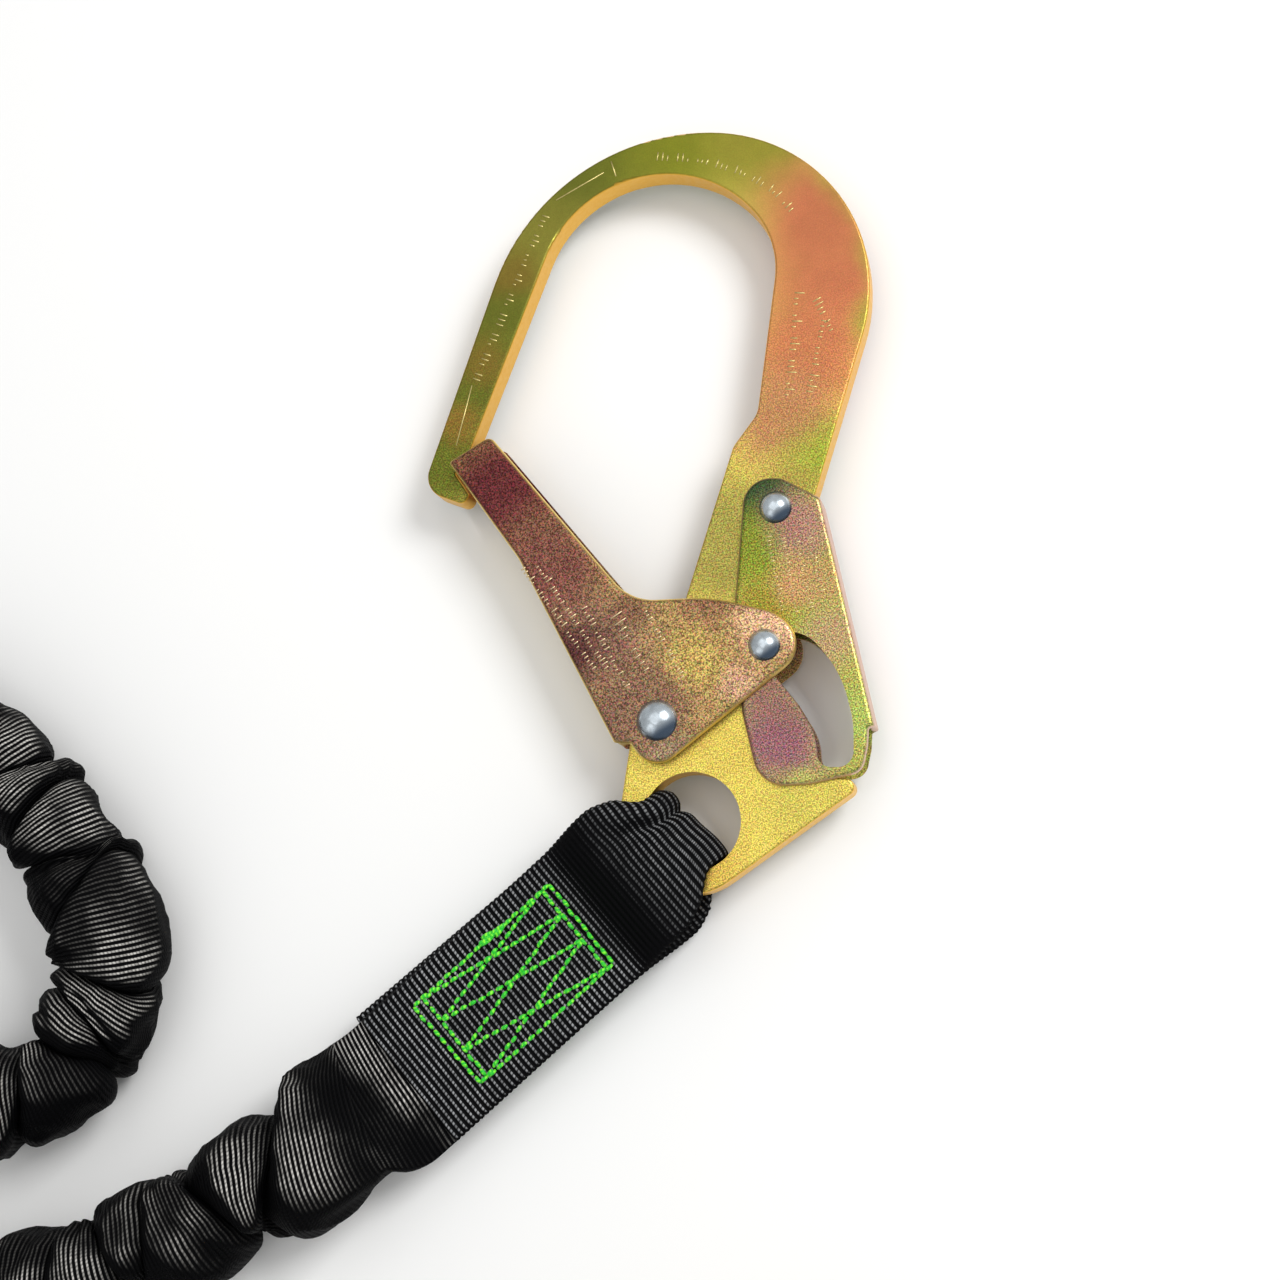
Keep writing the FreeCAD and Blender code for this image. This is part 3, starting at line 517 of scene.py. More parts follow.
# A crease's place along the sleeve, its tilt and the side it tilts to, its radius, how much that
# varies round it and to which side; then the next lobe's radius, shift, overhang and pinch. All in mm
# and radians; hang and pinch have no unit.
Crease = namedtuple("Crease", "place tilt tilt_side deep vary vary_side top shift hang pinch")


def crease_line(crease, turn):
    """Where a crease runs along the sleeve, and its radius, round the sleeve."""
    along = crease.place + crease.tilt * np.cos(turn - crease.tilt_side)
    return along, crease.deep + crease.vary * np.cos(turn - crease.vary_side)


def creases(length):
    """The first creases, by the strap, are placed singly; the others follow a seeded rule."""
    rows = [
        (-16.0, 0.0, 0.0, 21.0, 0.0, 0.0, 21.0, 0.0, 0.0, 1.0),
        (16.0, 4.0, 0.0, 19.5, -3.5, 0.3, 21.5, -2.5, 0.05, 0.9),
        (46.0, 10.5, 0.15, 8.6, -1.0, 0.0, 21.0, 3.5, 0.2, 0.9),
        (68.0, -8.5, 0.2, 9.5, -1.0, 2.0, 21.0, -3.5, 0.5, 0.7),
        (90.0, 9.0, -0.3, 9.0, 1.0, 1.0, 20.5, 3.0, 0.6, 0.7),
    ]
    rng = np.random.default_rng(11)
    sign = -1.0
    while rows[-1][0] < length / MM - LAST_CREASE:
        width = rng.uniform(11.5, 22.0)
        tilt = sign * rng.uniform(0.24, 0.52) * width
        depth = rng.uniform(7.5, 11.0)
        fat = rng.uniform(17.6, 20.2) + 0.09 * (width - 17.0)
        shift = sign * rng.uniform(1.5, 4.2)
        row = (rows[-1][0] + width, tilt, rng.uniform(-0.8, 0.8), depth, rng.uniform(-2.0, 2.0))
        row += (rng.uniform(0, 6.28), fat, shift, rng.uniform(0.25, 0.6), rng.uniform(0.5, 0.75))
        rows.append(row)
        sign = -sign if rng.uniform() < 0.85 else sign
    end = length / MM
    rows.append((end - 42.0, 5.0, 3.1, 10.8, -1.5, 0.4, 20.0, 2.0, 0.2, 1.0))
    rows.append((end - 15.0, 1.5, 3.1, 20.0, -3.0, 3.1, 20.5, 0.0, 0.0, 1.0))
    rows.append((end + 16.0, 0.0, 0.0, 20.0, 0.0, 0.0, 20.0, 0.0, 0.0, 1.0))
    return [Crease(*row) for row in rows]


def lobe_rings(first, second, turn, rng):
    """Rings from one crease to the next: distance along, radius and shift in mm, and the share of painted
    light, low near the creases for painted shade.
    """
    start, deep_start = crease_line(first, turn)
    finish, deep_finish = crease_line(second, turn)
    width = np.maximum(finish, start + NARROWEST_LOBE) - start
    full = smooth_step(width, 1.0, 15.0)
    crest = np.minimum(deep_start, deep_finish) + 0.6
    crest = crest + (first.top + 0.10 * (width - 17.0) - crest) * full
    lean = rng.uniform(-0.12, 0.12)
    grooves = [
        (rng.uniform(0.3, 0.7), rng.uniform(-1.2, 1.2), rng.uniform(0, 6.28), rng.uniform(1.0, 2.6))
        for _ in range(3)
    ]
    rings = []
    for part in np.arange(PER_LOBE) / PER_LOBE:
        swell = math.sin(math.pi * part) ** first.pinch
        base = deep_start + (deep_finish - deep_start) * part
        radius = base + (np.maximum(crest, base + 0.5) - base) * swell
        for middle, slant, side, deep in grooves:
            apart = np.angle(np.exp(1j * (turn - side)))
            dent = bell(part, middle + 0.12 * slant * apart, 0.09) * bell(apart, 0.0, 0.75)
            radius = radius - deep * dent * swell
        over = 1.5 * first.hang * np.clip((crest - base) / 8.0, 0.0, 1.0)
        curl = part - over * math.sin(2 * math.pi * part) / (2 * math.pi)
        curl = curl + lean * math.sin(math.pi * part) ** 2
        # painted shade: darker near the creases and across narrow lobes
        painted_light = smooth_step(swell, 0.3, 0.95) * (0.3 + 0.7 * full)
        rings.append((start + width * curl, radius, np.full_like(turn, first.shift * swell), painted_light))
    return rings


def wrinkles(along, lobe_of, turn):
    """Small wrinkles and slack, in mm of radius; the ridges change from lobe to lobe."""
    wander = np.zeros_like(along)
    for row, lobe in enumerate(lobe_of):
        for column, angle in enumerate(turn):
            round_it = (1.25 * math.cos(angle), 1.25 * math.sin(angle))
            spot = Vector((along[row, column] / WRINKLE, *round_it))
            ridged = 1.0 - 2.0 * abs(noise.noise(spot * 1.7 + Vector((lobe * 3.1, 0, 0))))
            wander[row, column] = 1.4 * noise.noise(spot) + 0.9 * ridged
    return wander


def sleeve_uv(points, lobe_of):
    """Corner UVs of the sleeve and its caps: the ribs keep their pitch along the cloth, and start
    afresh from the middle of each lobe."""
    steps = np.linalg.norm(np.diff(points, axis=0), axis=2)
    steps = 0.7 * steps + 0.3 * steps.mean(axis=1, keepdims=True)
    cloth = np.concatenate([np.zeros((1, AROUND)), np.cumsum(steps, axis=0)])
    middles = np.array([np.flatnonzero(lobe_of == lobe).mean() for lobe in lobe_of]).astype(int)
    restart = cloth[middles].mean(axis=1, keepdims=True) - cloth[middles]
    low = (cloth + restart)[:-1]
    high = cloth[1:] + restart[:-1]
    corner_uv = grid_uv(np.arange(AROUND + 1) * CLOTH_GIRTH / AROUND, np.zeros(len(points)))
    by_corner = np.stack([low, np.roll(low, -1, 1), np.roll(high, -1, 1), high], -1)
    corner_uv[: by_corner.size, 1] = by_corner.ravel()
    return corner_uv


def sleeve_mesh(line, material):
    """Tubular webbing pushed together on its core: wedge-shaped lobes between deep slanting creases."""
    rows = creases(line.length)
    rng = np.random.default_rng(5)
    turn = np.arange(AROUND) * 2 * math.pi / AROUND
    rings = []
    lobe_of = []
    for number, (first, second) in enumerate(zip(rows, rows[1:])):
        rings += lobe_rings(first, second, turn, rng)
        lobe_of += [number] * PER_LOBE
    along, radius, shift, painted_light = np.array(rings).transpose(1, 0, 2)
    along, radius, shift = along * MM, radius * MM, shift * MM
    keep = (along.min(axis=1) > SEAM_GAP) & (along.max(axis=1) < line.length - SEAM_GAP)
    first_kept, last_kept = np.flatnonzero(keep)[[0, -1]]
    kept = slice(first_kept, last_kept + 1)
    along, lobe_of = along[kept], lobe_of[kept]
    edge = np.linspace(0.0, 1.0, END_RINGS + 1)[:-1, None]
    lead_in = edge * along[0][None, :]
    lead_out = line.length + (along[-1][None, :] - line.length) * edge[::-1]
    along = np.concatenate([lead_in, along, lead_out])
    radius, shift, painted_light = [
        np.pad(values[kept], ((END_RINGS, END_RINGS), (0, 0)), "edge")
        for values in (radius, shift, painted_light)
    ]
    lobe_of = np.pad(lobe_of, END_RINGS, "edge")
    radius = radius + wrinkles(along, lobe_of, turn) * MM

    # the sleeve is pressed flat between the plies at both ends, and lies low near them
    flat_in = 1.0 - smooth_step(along, 4 * MM, FLAT_REACH)
    flat_out = 1.0 - smooth_step(line.length - along, 4 * MM, FLAT_REACH)
    flat = np.maximum(flat_in, flat_out)
    wide = np.cos(turn)[None, :]
    tall = np.sin(turn)[None, :]
    pressed = FLAT_WIDTH * np.sign(wide) * np.abs(wide) ** 0.8
    sideways = (1 - flat) * (radius * wide + shift) + flat * pressed
    low_in = smooth_step(np.minimum(along, line.length - along), 15 * MM, 75 * MM)
    upwards = (1 - flat) * radius * (0.74 + 0.26 * low_in) * tall + flat * FLAT_THICK * tall
    # painted light: the pressed ends are left without painted fold shade
    painted_light = painted_light + (1 - painted_light) * flat
    # the first fold by each strap lies in its shade
    fold = np.minimum(along, line.length - along) / MM + 5.0 * wide * np.sign(line.length / 2 - along)
    tucked = smooth_step(fold, 6.0, 11.0) * (1 - smooth_step(fold, 19.0, 25.0))
    painted_light = painted_light * (1 - 0.96 * tucked)
    place, heading = line.at(along)
    left = np.stack([-heading[..., 1], heading[..., 0], np.zeros_like(along)], -1)
    drop = flat_in * (place[..., 2] - FRONT_PLY) + flat_out * (place[..., 2] - SNAP_EYE.z - FRONT_PLY)
    points = place + left * sideways[..., None]
    points[..., 2] += upwards - drop

    # what would sink into the floor is squashed against it
    resting = FLOOR + RESTING
    sunk = resting - points[..., 2]
    squashed = resting - SQUASH * (1 - np.exp(-np.abs(sunk) / SQUASH))
    points[..., 2] = np.where(sunk > 0, squashed, points[..., 2])
    faces = grid_faces(len(points), AROUND) + end_caps(len(points), AROUND)
    corner_uv = sleeve_uv(points, lobe_of)
    return mesh_object("ruched_sleeve", points.reshape(-1, 3), faces, material, corner_uv, painted_light)


RIBBON_GIRTH = 32 * MM
RIBBON_INSET = 10 * MM
RIBBON_STEP = 2.5 * MM
RIBBON_WAVE = 9 * MM


def core_ribbon(line, material):
    """Woven absorber ribbon folded flat inside the sleeve."""
    half_wide = 7.5 * MM
    half_thick = 2.2 * MM
    around = 16
    distances = np.arange(RIBBON_INSET, line.length - RIBBON_INSET, RIBBON_STEP)
    turn = np.arange(around) * 2 * math.pi / around
    along = np.repeat(distances[:, None], around, 1)
    place, heading = line.at(along)
    left = np.stack([-heading[..., 1], heading[..., 0], np.zeros_like(along)], -1)
    wave = 1.2 * MM * np.sin(along / RIBBON_WAVE)
    points = place + left * (half_wide * np.cos(turn))[None, :, None]
    points[..., 2] += half_thick * np.sin(turn)[None, :] + wave
    ends = smooth_step(np.minimum(along, line.length - along), 5 * MM, 30 * MM)
    points[..., 2] = FRONT_PLY - 1 * MM + (points[..., 2] - FRONT_PLY + 1 * MM) * ends
    faces = grid_faces(len(distances), around) + end_caps(len(distances), around)
    corner_uv = grid_uv(np.arange(around + 1) * RIBBON_GIRTH / around, distances)
    return mesh_object("absorber_ribbon", points.reshape(-1, 3), faces, material, corner_uv)


# ---------------------------------------------------------------- webbing sewn through an eye
LOOP_END = 113.0
WEB_HALF = 22.9
PLY_HALF = 1.4
RIM_LEVEL = 7.9
PLY_LEVEL = 1.55
WRAP_START = 17.0
WRAP_SHARE = 0.22
PLEAT_AT = -9.0
LANES = 30
PER_RIB = 6
RIB_HEIGHT = 0.24
PLY_CLOSED = 41.0
PLY_OPEN = 24.0


def eye_crest(across):
    """How far past the eye's centre the webbing reaches, across its width, in mm."""
    pleat = 2.3 * bell(across, PLEAT_AT, 3.2)
    return 0.2 - 0.9 * smooth_step(across, 0, 14) + pleat + 1.6 * smooth_step(-across, 17, 23)


def loop_surface(travel, across):
    """Middle of the webbing at a share of its way round the loop, in mm in the loop's own frame.
    travel is -1 at the front ply's sewn end, 0 in the eye and 1 at the rear ply's cut end."""
    front = travel < 0
    way = np.abs(travel)
    angle = np.clip(way / WRAP_SHARE, 0.0, 1.0) * math.pi / 2
    bow = np.cos(angle) ** 0.85
    crest = eye_crest(across)
    run = np.clip((way - WRAP_SHARE) / (1 - WRAP_SHARE), 0.0, 1.0)
    end = np.where(front, LOOP_END + 0.8, LOOP_END + 2.2)
    wrapping = way < WRAP_SHARE
    x_wrapping = WRAP_START - (WRAP_START - crest) * bow
    x = np.where(wrapping, x_wrapping, WRAP_START + (end - WRAP_START) * run)
    opened = 1.0 - smooth_step(x, PLY_OPEN, PLY_CLOSED)
    level = PLY_LEVEL + (RIM_LEVEL - PLY_LEVEL) * opened
    z = np.where(wrapping, RIM_LEVEL * np.sin(angle), level)
    dip = bell(across, PLEAT_AT, 4.2) * 1.7 - bell(across, -16.5, 4.0) * 1.3
    folding = smooth_step(-x, -31, -13)
    z = z - np.where(front, dip * folding * np.sin(angle), 0.0)
    narrow = smooth_step(bow, 0.2, 0.72)
    shoulder = smooth_step(-x, -22, -9)
    ratio = 1.0 - 0.17 * shoulder - 0.22 * narrow
    y = across * ratio
    slack = 0.28 * np.sin(x / 11.0 + across / 17.0) * (1 - opened)
    skew = np.where(front, 0.0, 1.0 - 3.4 * np.clip(x / LOOP_END, 0, 1))
    z = np.where(front, z, -z) + np.where(front, slack, 0.0)
    return np.stack([x, y + skew * (way > WRAP_SHARE * 0.9), z], -1)


def webbing_mesh(name, origin, turned, material):
    """A closed strip with real ribs across it; its two faces stand off the loop's middle surface."""
    even = np.linspace(-1, 1, LANES + 1)
    lanes = np.sin(even * math.pi / 2 * 0.985)
    lanes = lanes / lanes.max() * 0.55 + even * 0.45
    across = lanes * WEB_HALF
    fine = np.linspace(-1, 1, 1401)
    middle = loop_surface(fine, np.zeros_like(fine))
    reach = np.concatenate([[0.0], np.cumsum(np.linalg.norm(np.diff(middle, axis=0), axis=1))])
    total = int(reach[-1] / (RIB_PITCH / MM) * PER_RIB)
    distance = np.linspace(0, reach[-1], total + 1)
    travel = np.interp(distance, reach, fine)
    surface = loop_surface(*np.meshgrid(travel, across, indexing="ij"))
    forward = np.gradient(surface, axis=0)
    sideways = np.gradient(surface, axis=1)
    normal = np.cross(sideways, forward)
    normal /= np.linalg.norm(normal, axis=2, keepdims=True)
    body = PLY_HALF * (1 - np.abs(lanes) ** 10) ** 0.5
    rib = RIB_HEIGHT * (np.abs(np.sin(math.pi * distance / (RIB_PITCH / MM))) - 0.4)
    offset = body[None, :] + rib[:, None] * (0.35 + 0.65 * (body / PLY_HALF))[None, :]
    flare = sideways / np.linalg.norm(sideways, axis=2, keepdims=True)
    flare = flare * (np.abs(lanes) ** 24 * np.sign(lanes))[None, :, None] * rib[:, None, None] * 1.4
    top = surface + normal * offset[..., None] + flare
    bottom = surface - normal * offset[..., None] + flare
    ring = np.concatenate([top, bottom[:, -2:0:-1]], axis=1)
    columns = ring.shape[1]
    faces = grid_faces(total + 1, columns) + end_caps(total + 1, columns)
    width = np.concatenate([across, across[-2:0:-1], across[:1]]) * MM
    corner_uv = grid_uv(width, distance * MM)
    # painted shade: a dark band across the plies about 30 mm from the eye, and darker round the eye
    shaded = bell(ring[..., 0], 30.0, 10.0)
    painted_light = (1 - 0.93 * shaded) * (0.55 + 0.45 * smooth_step(ring[..., 0], 18.0, 38.0))
    points = placed(ring, origin, turned).reshape(-1, 3)
    return mesh_object(name, points, faces, material, corner_uv, painted_light)


# ---------------------------------------------------------------- box stitch
STITCH = 3.1
THREAD = 0.64
NEAR, FAR = 47.0, 94.5
STITCH_RUNS = [
    ((44.0, -15.0), (44.6, 15.2)),
    ((98.6, -15.2), (97.2, 15.4)),
    ((NEAR, -15.0), (NEAR, 15.0)),
    ((FAR, -15.0), (FAR, 15.0)),
    ((44.0, -15.0), (98.6, -15.2)),
    ((44.6, 15.2), (97.2, 15.4)),
    ((FAR, -15.0), (NEAR, -5.8)),
    ((FAR, -6.2), (NEAR, -15.0)),
    ((FAR, -6.2), (NEAR, 4.0)),
    ((FAR, 4.8), (NEAR, -5.8)),
    ((FAR, 4.8), (NEAR, 15.0)),
    ((FAR, 15.0), (NEAR, 4.0)),
]
STITCH_RINGS = 7
STITCH_AROUND = 8
LOCK_AT = (66.5, -15.1)
LOCK_STITCHES = 16


class Thread:
    """Mesh data of sewing thread, gathered stitch by stitch, in mm."""

    def __init__(self):
        self.points, self.faces, self.uv = [], [], []

    def add_stitch(self, start, end, level, sign, rng):
        """One stitch: rings of a thread that dips into the cloth at both ends."""
        step = end - start
        length = np.linalg.norm(step)
        ahead = step / length
        beside = np.array([-ahead[1], ahead[0]])
        bend = rng.uniform(-0.12, 0.12)
        first = len(self.points)
        for ring in range(STITCH_RINGS):
            share = ring / (STITCH_RINGS - 1)
            swell = math.sin(math.pi * (0.06 + 0.88 * share))
            radius = THREAD * (0.45 + 0.55 * swell)
            centre = start + step * share + beside * bend * swell
            height = level + sign * (0.62 * swell - 0.22)
            for corner in range(STITCH_AROUND):
                turn = 2 * math.pi * corner / STITCH_AROUND
                side = centre + beside * radius * math.cos(turn)
                self.points.append((side[0], side[1], height + 0.8 * radius * math.sin(turn)))
        for face in grid_faces(STITCH_RINGS, STITCH_AROUND):
            self.faces.append(tuple(first + corner for corner in face))
            for corner in face:
                ring, column = divmod(corner, STITCH_AROUND)
                self.uv.append((column / STITCH_AROUND, ring * length * MM / (STITCH_RINGS - 1)))
        for face in end_caps(STITCH_RINGS, STITCH_AROUND):
            self.faces.append(tuple(first + corner for corner in face))
            self.uv += [(0.0, 0.0)] * STITCH_AROUND


def add_lock(thread, level, rng):
    """Where the thread was locked: short stitches on top of each other on the box's long side."""
    for _ in range(LOCK_STITCHES):
        middle = np.array([LOCK_AT[0] + rng.uniform(-4.0, 4.0), LOCK_AT[1] + rng.normal(scale=0.55)])
        reach = np.array([rng.uniform(1.0, 2.2), rng.uniform(-0.5, 0.5)])
        thread.add_stitch(middle - reach, middle + reach, level + 0.35, 1, rng)


def stitching_mesh(name, origin, turned, material, seed):
    """Every stitch of the box and its crossed runs, on both faces, and the lock on the front one."""
    rng = np.random.default_rng(seed)
    thread = Thread()
    for sign in (1, -1):
        level = sign * (PLY_LEVEL + PLY_HALF + 0.05)
        for start, end in np.array(STITCH_RUNS):
            count = max(2, round(np.linalg.norm(end - start) / STITCH))
            for number in range(count):
                tail = start + (end - start) * (number + 0.06) / count
                head = start + (end - start) * (number + 0.94) / count
                shift = rng.normal(scale=0.10, size=2)
                thread.add_stitch(tail + shift, head + shift, level, sign, rng)
        if sign == 1:
            add_lock(thread, level, rng)
    points = placed(np.array(thread.points), origin, turned)
    return mesh_object(name, points, thread.faces, material, thread.uv)


# ---------------------------------------------------------------- stamped strokes
STROKE_HALF = 0.24
STROKE_SUNK = 0.15
STROKE_RISE = 0.12


def bar_points(start, end, half, low, high):
    """A thin bar between two points, a little narrower at its top."""
    ahead = (end - start) / np.linalg.norm(end - start)
    beside = np.array([-ahead[1], ahead[0]])
    points = []
    for wide, level in ((half, low), (0.6 * half, high)):
        for place, back in ((start, -1), (end, 1)):
            for side in (-back, back):
                spot = place + beside * wide * side + ahead * back * (wide - half)
                points.append((*spot, level))
    return points


BAR_FACES = [(3, 2, 1, 0), (4, 5, 6, 7), (0, 1, 5, 4), (1, 2, 6, 5), (2, 3, 7, 6), (3, 0, 4, 7)]


def stroke_rows(rows, rng):
    """Upright ticks of three heights in even groups along each row of (points, number of ticks, height)."""
    bars = []
    for route, count, height in rows:
        route = np.array(route)
        steps = np.concatenate([[0.0], np.cumsum(np.linalg.norm(np.diff(route, axis=0), axis=1))])
        gap = rng.integers(4, 7)
        for number in range(count):
            if number % gap == gap - 1:
                continue
            distance = (number + 0.5) / count * steps[-1]
            back, ahead = [
                np.array([np.interp(reach, steps, route[:, axis]) for axis in range(2)])
                for reach in (distance - 0.05, distance + 0.05)
            ]
            heading = (ahead - back) / np.linalg.norm(ahead - back)
            up = np.array([-heading[1], heading[0]]) * height
            spot = (back + ahead) / 2 - up / 2
            bars.append((spot, spot + up * rng.choice([0.45, 0.7, 1.0])))
    return bars


def stroke_mesh(name, lines, rows, level, material, seed):
    """Lines and rows of strokes that stand just above a flat face at level."""
    bars = [(np.array(start), np.array(end)) for start, end in lines]
    bars += stroke_rows(rows, np.random.default_rng(seed))
    points, faces = [], []
    for start, end in bars:
        faces += [tuple(len(points) + corner for corner in face) for face in BAR_FACES]
        points += bar_points(start, end, STROKE_HALF, -STROKE_SUNK, STROKE_RISE)
    return mesh_object(name, np.array(points) * MM + np.array([0.0, 0.0, level]), faces, material)


HOOK_LINES = [
    ((-14.6, 41.1), (-30.4, 34.1)),
    ((-60.2, -22.4), (-66.1, -41.2)),
    ((-12.2, 44.4), (-10.9, 39.2)),
]
HOOK_ROWS = [
    ([(-33.5, 30.0), (-46.5, 4.0), (-59.0, -21.5)], 34, 2.6),
    ([(1.8, 44.0), (15.8, 41.3), (29.4, 34.8), (38.1, 27.7), (44.3, 19.0)], 32, 2.8),
    ([(48.0, -8.0), (52.9, -19.1)], 8, 3.0),
    ([(43.4, -5.1), (41.0, -20.0), (37.4, -40.0)], 20, 3.2),
    ([(50.8, -15.0), (47.4, -27.0), (43.7, -39.6)], 15, 3.2),
]
GATE_ROWS = [
    ([(-45.6, -82.3), (-24.2, -116.8)], 30, 2.3),
    ([(-40.9, -82.1), (-20.5, -117.1)], 30, 2.3),
    ([(-27.7, -96.2), (-15.5, -122.0)], 20, 2.1),
    ([(-18.5, -99.0), (-8.2, -117.6)], 9, 4.2),
    ([(-9.0, -99.2), (1.9, -121.9)], 20, 1.7),
]
LEVER_ROWS = [
    ([(28.9, -79.9), (31.8, -103.4)], 19, 1.9),
    ([(32.9, -80.9), (35.9, -104.3)], 19, 1.9),
    ([(37.0, -79.9), (40.0, -104.7)], 20, 1.9),
    ([(41.0, -81.7), (43.6, -98.8)], 14, 1.9),
]


# ---------------------------------------------------------------- build
add_camera()
add_light()
add_floor()

# the light colours of both cloths are partly thread colour and partly painted highlight
jacket_cloth = webbing_cloth(
    "ruched_cloth",
    SLEEVE_PITCH,
    SLEEVE_DASH,
    dash_low=0.5,
    depth=0.4 * MM,
    light=(0.66, 0.64, 0.60),
    even=0.10,
)
strap_cloth = webbing_cloth(
    "strap_cloth",
    RIB_PITCH,
    RIB_DASH,
    dash_low=0.15,
    depth=0.12 * MM,
    light=(0.42, 0.43, 0.44),
    even=0.75,
)
thread_green = sewing_thread("green_thread", (0.002, 0.56, 0.012), (0.26, 1.0, 0.02))

line = Line(line_points())
sleeve = sleeve_mesh(line, jacket_cloth)
ribbon = core_ribbon(line, sewing_thread("absorber_yarn", (0.62, 0.56, 0.38), (0.80, 0.74, 0.55)))
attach(sleeve, "lanyard")
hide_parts("leg_jacket")
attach(ribbon, "lanyard")
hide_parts("energy_absorber_core")

for end, origin, turned, seed in (
    ("hook_end", HOOK_EYE, LOOP_TURN, 3),
    ("harness_end", SNAP_EYE, SNAP_LOOP_TURN, 4),
):
    strap = webbing_mesh(f"{end}_webbing", origin, turned, strap_cloth)
    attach(strap, "lanyard")
    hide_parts(f"{end}_loop")
    stitches = stitching_mesh(f"{end}_box_stitch", origin, turned, thread_green, seed)
    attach(stitches, "lanyard")
    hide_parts(f"{end}_stitching")

# ---------------------------------------------------------------- metal
OLIVE = (0.14, 0.15, 0.02)
LIME = (0.30, 0.34, 0.04)
SALMON = (0.54, 0.18, 0.08)
GOLD = (0.66, 0.51, 0.10)
TAN = (0.34, 0.29, 0.065)
# painted highlight colour of the hook's upright walls and edges
RIM_HIGHLIGHT_ORANGE = (0.88, 0.50, 0.07)
BROWN = (0.22, 0.12, 0.075)
SAND = (0.35, 0.225, 0.085)
PINK = (0.60, 0.36, 0.21)
GRAIN_EVERYWHERE = (0.2, 0.3)

hook_yellow = chromate(
    "hook_chromate",
    GOLD,
    RIM_HIGHLIGHT_ORANGE,
    [
        ((-58, -10), 78, OLIVE, 1.0),
        ((-70, -46), 26, OLIVE, 1.0),
        ((-56, -14), 13, (0.24, 0.13, 0.025), 0.55),
        ((-44, 12), 13, (0.24, 0.13, 0.025), 0.55),
        ((-66, -34), 10, (0.30, 0.14, 0.03), 0.55),
        ((-20, 50), 52, OLIVE, 1.0),
        ((12, 50), 36, (0.22, 0.23, 0.02), 1.0),
        ((36, 44), 30, (0.30, 0.27, 0.035), 1.0),
        ((50, 16), 30, SALMON, 1.0),
        ((54, -4), 26, SALMON, 1.0),
        ((46, -24), 32, SALMON, 0.95),
        ((67, 30), 20, LIME, 1.0),
        ((75, 6), 18, LIME, 1.0),
        ((70, -18), 14, LIME, 0.9),
        ((36, -44), 24, (0.44, 0.20, 0.09), 0.9),
        ((50, -62), 24, LIME, 0.95),
        ((18, -80), 34, TAN, 1.0),
        ((38, -68), 14, (0.36, 0.28, 0.06), 0.8),
        ((-2, -134), 14, (0.70, 0.36, 0.08), 0.5),
        ((4, -172), 16, (0.52, 0.27, 0.05), 0.5),
        ((34, -160), 18, (0.50, 0.46, 0.09), 0.5),
    ],
    0.45,
    fade=(-0.06, 0.01),
)
gate_brown = chromate(
    "gate_chromate",
    SAND,
    # painted highlight colour of the gate's upright walls and edges
    (0.95, 0.72, 0.22),
    [
        ((-52, -58), 36, (0.115, 0.026, 0.026), 1.0),
        ((-38, -86), 28, (0.18, 0.07, 0.05), 1.0),
        ((-24, -108), 26, BROWN, 1.0),
        ((-32, -110), 17, (0.09, 0.032, 0.028), 0.95),
        ((-22, -134), 14, (0.09, 0.04, 0.03), 0.8),
        ((-14, -98), 9, (0.16, 0.07, 0.045), 0.7),
        ((-12, -130), 24, BROWN, 0.9),
        ((-4, -146), 12, (0.30, 0.22, 0.14), 0.8),
        ((28, -106), 16, PINK, 0.9),
        ((10, -98), 13, (0.22, 0.10, 0.06), 0.7),
        ((24, -96), 9, (0.20, 0.09, 0.06), 0.7),
        ((4, -116), 13, (0.48, 0.35, 0.09), 0.6),
        ((18, -124), 10, (0.62, 0.36, 0.25), 0.5),
    ],
    0.70,
    fade=GRAIN_EVERYWHERE,
)
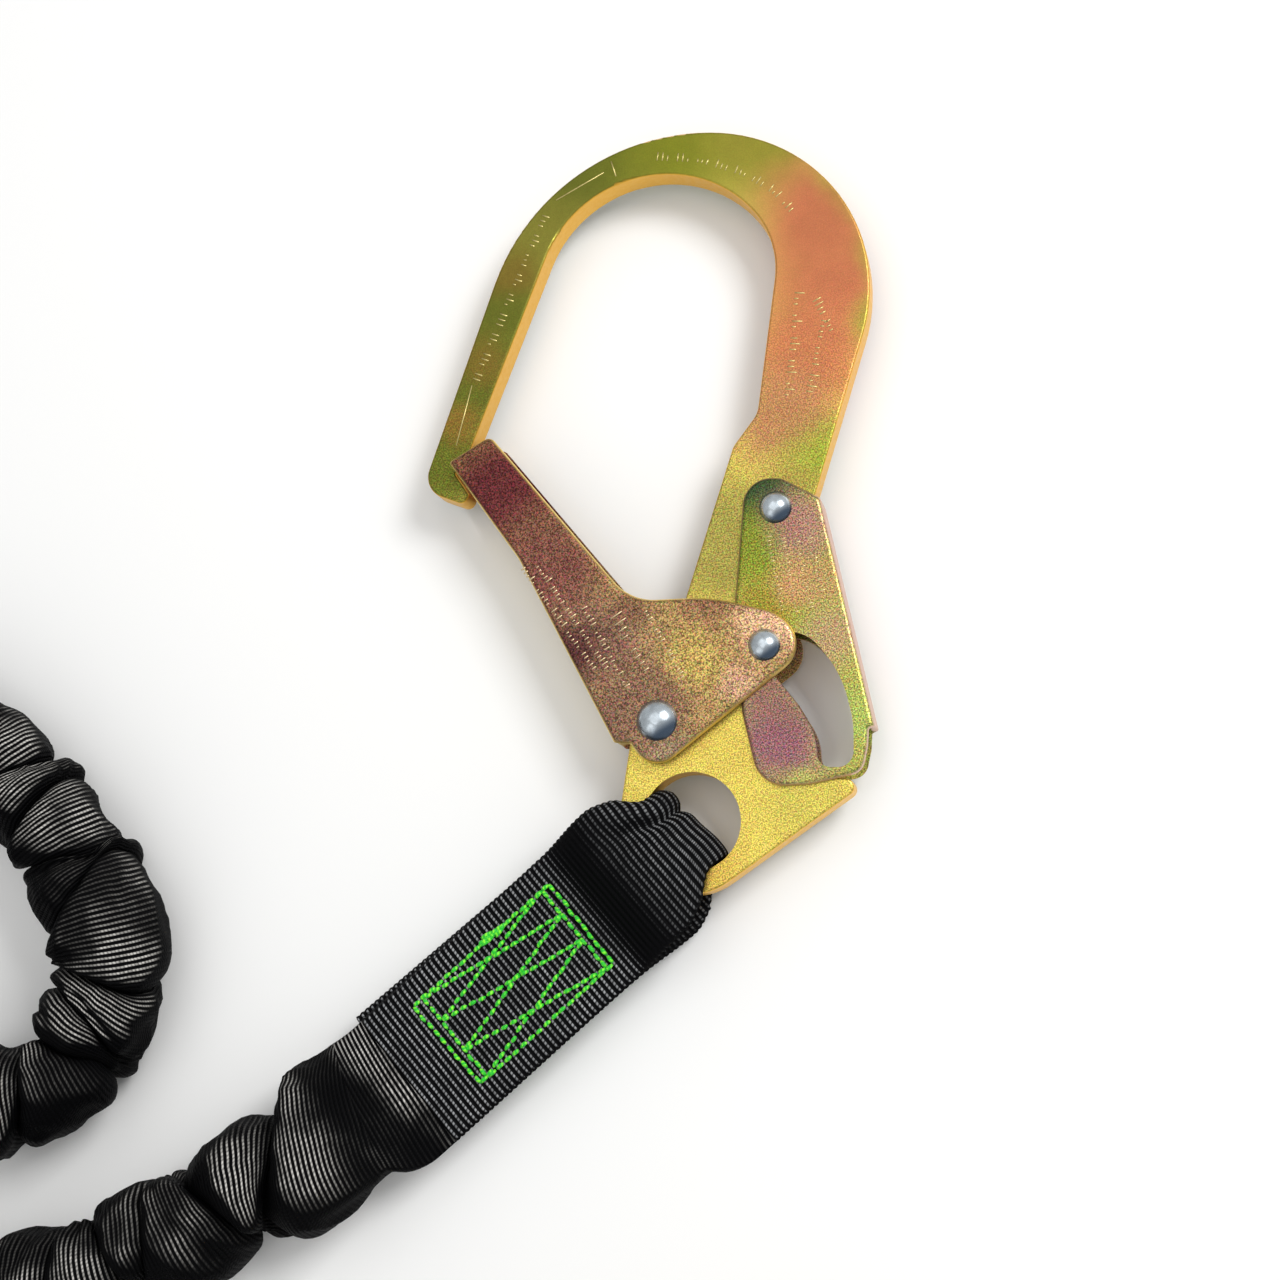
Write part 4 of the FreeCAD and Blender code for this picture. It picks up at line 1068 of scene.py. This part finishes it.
lever_green = chromate(
    "lever_chromate",
    (0.36, 0.34, 0.08),
    # painted highlight colour of the lever's upright walls and edges
    (0.70, 0.46, 0.38),
    [
        ((26, -68), 23, (0.045, 0.075, 0.028), 1.0),
        ((24, -84), 18, (0.22, 0.25, 0.03), 1.0),
        ((38, -78), 16, (0.36, 0.18, 0.14), 0.9),
        ((26, -102), 16, (0.30, 0.24, 0.03), 0.9),
        ((36, -94), 12, (0.50, 0.27, 0.12), 0.9),
        ((44, -96), 12, (0.40, 0.26, 0.10), 0.9),
        ((46, -114), 14, (0.42, 0.28, 0.14), 0.9),
        ((27, -142), 22, (0.27, 0.12, 0.13), 1.0),
        ((26, -126), 14, (0.26, 0.12, 0.11), 0.8),
        ((51, -136), 10, (0.36, 0.42, 0.10), 0.9),
        ((34, -157), 9, (0.46, 0.42, 0.12), 0.9),
    ],
    0.62,
    fade=GRAIN_EVERYWHERE,
)
# rivets: a painted dark reflection on one side of each dome
rivet_zinc = bright_metal("rivet_zinc", (0.66, 0.73, 0.78), 0.18, dark_reflection=(0.10, 0.14, 0.20))
spring_wire = bright_metal("spring_wire", (0.42, 0.42, 0.43), 0.3)

for name, body, slot, lines, rows, level, colour, seed in (
    ("hook_strokes", "hook", "yellow_zinc_steel", HOOK_LINES, HOOK_ROWS, PLATE_TOP, (0.72, 0.60, 0.24), 21),
    ("gate_strokes", "gate", "stamped_zinc_steel", [], GATE_ROWS, GATE_TOP, (0.86, 0.68, 0.40), 22),
    ("lever_strokes", "lever", "stamped_zinc_steel", [], LEVER_ROWS, LEVER_TOP, (0.78, 0.62, 0.30), 23),
):
    struck = bright_metal(f"{name}_metal", colour, 0.36)
    strokes = stroke_mesh(name, lines, rows, level, struck, seed)
    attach(strokes, body)

METALS = {
    "hook_body": hook_yellow,
    "snap_body": hook_yellow,
    "hook_gate": gate_brown,
    "snap_gate": gate_brown,
    "lock_lever": lever_green,
    "snap_lever": lever_green,
    "gate_spring": spring_wire,
    "lever_spring": spring_wire,
    "snap_lever_spring": spring_wire,
}
RIVETS = [
    "gate_pivot_rivet",
    "gate_lock_rivet",
    "lever_pivot_rivet",
    "gate_spacers",
    "snap_gate_rivet",
    "snap_lock_rivet",
    "snap_lever_rivet",
    "snap_spacers",
]
METALS.update({node: rivet_zinc for node in RIVETS})
for node, material in METALS.items():
    piece = frame["nodes"][node]
    piece.data.materials.clear()
    piece.data.materials.append(material)
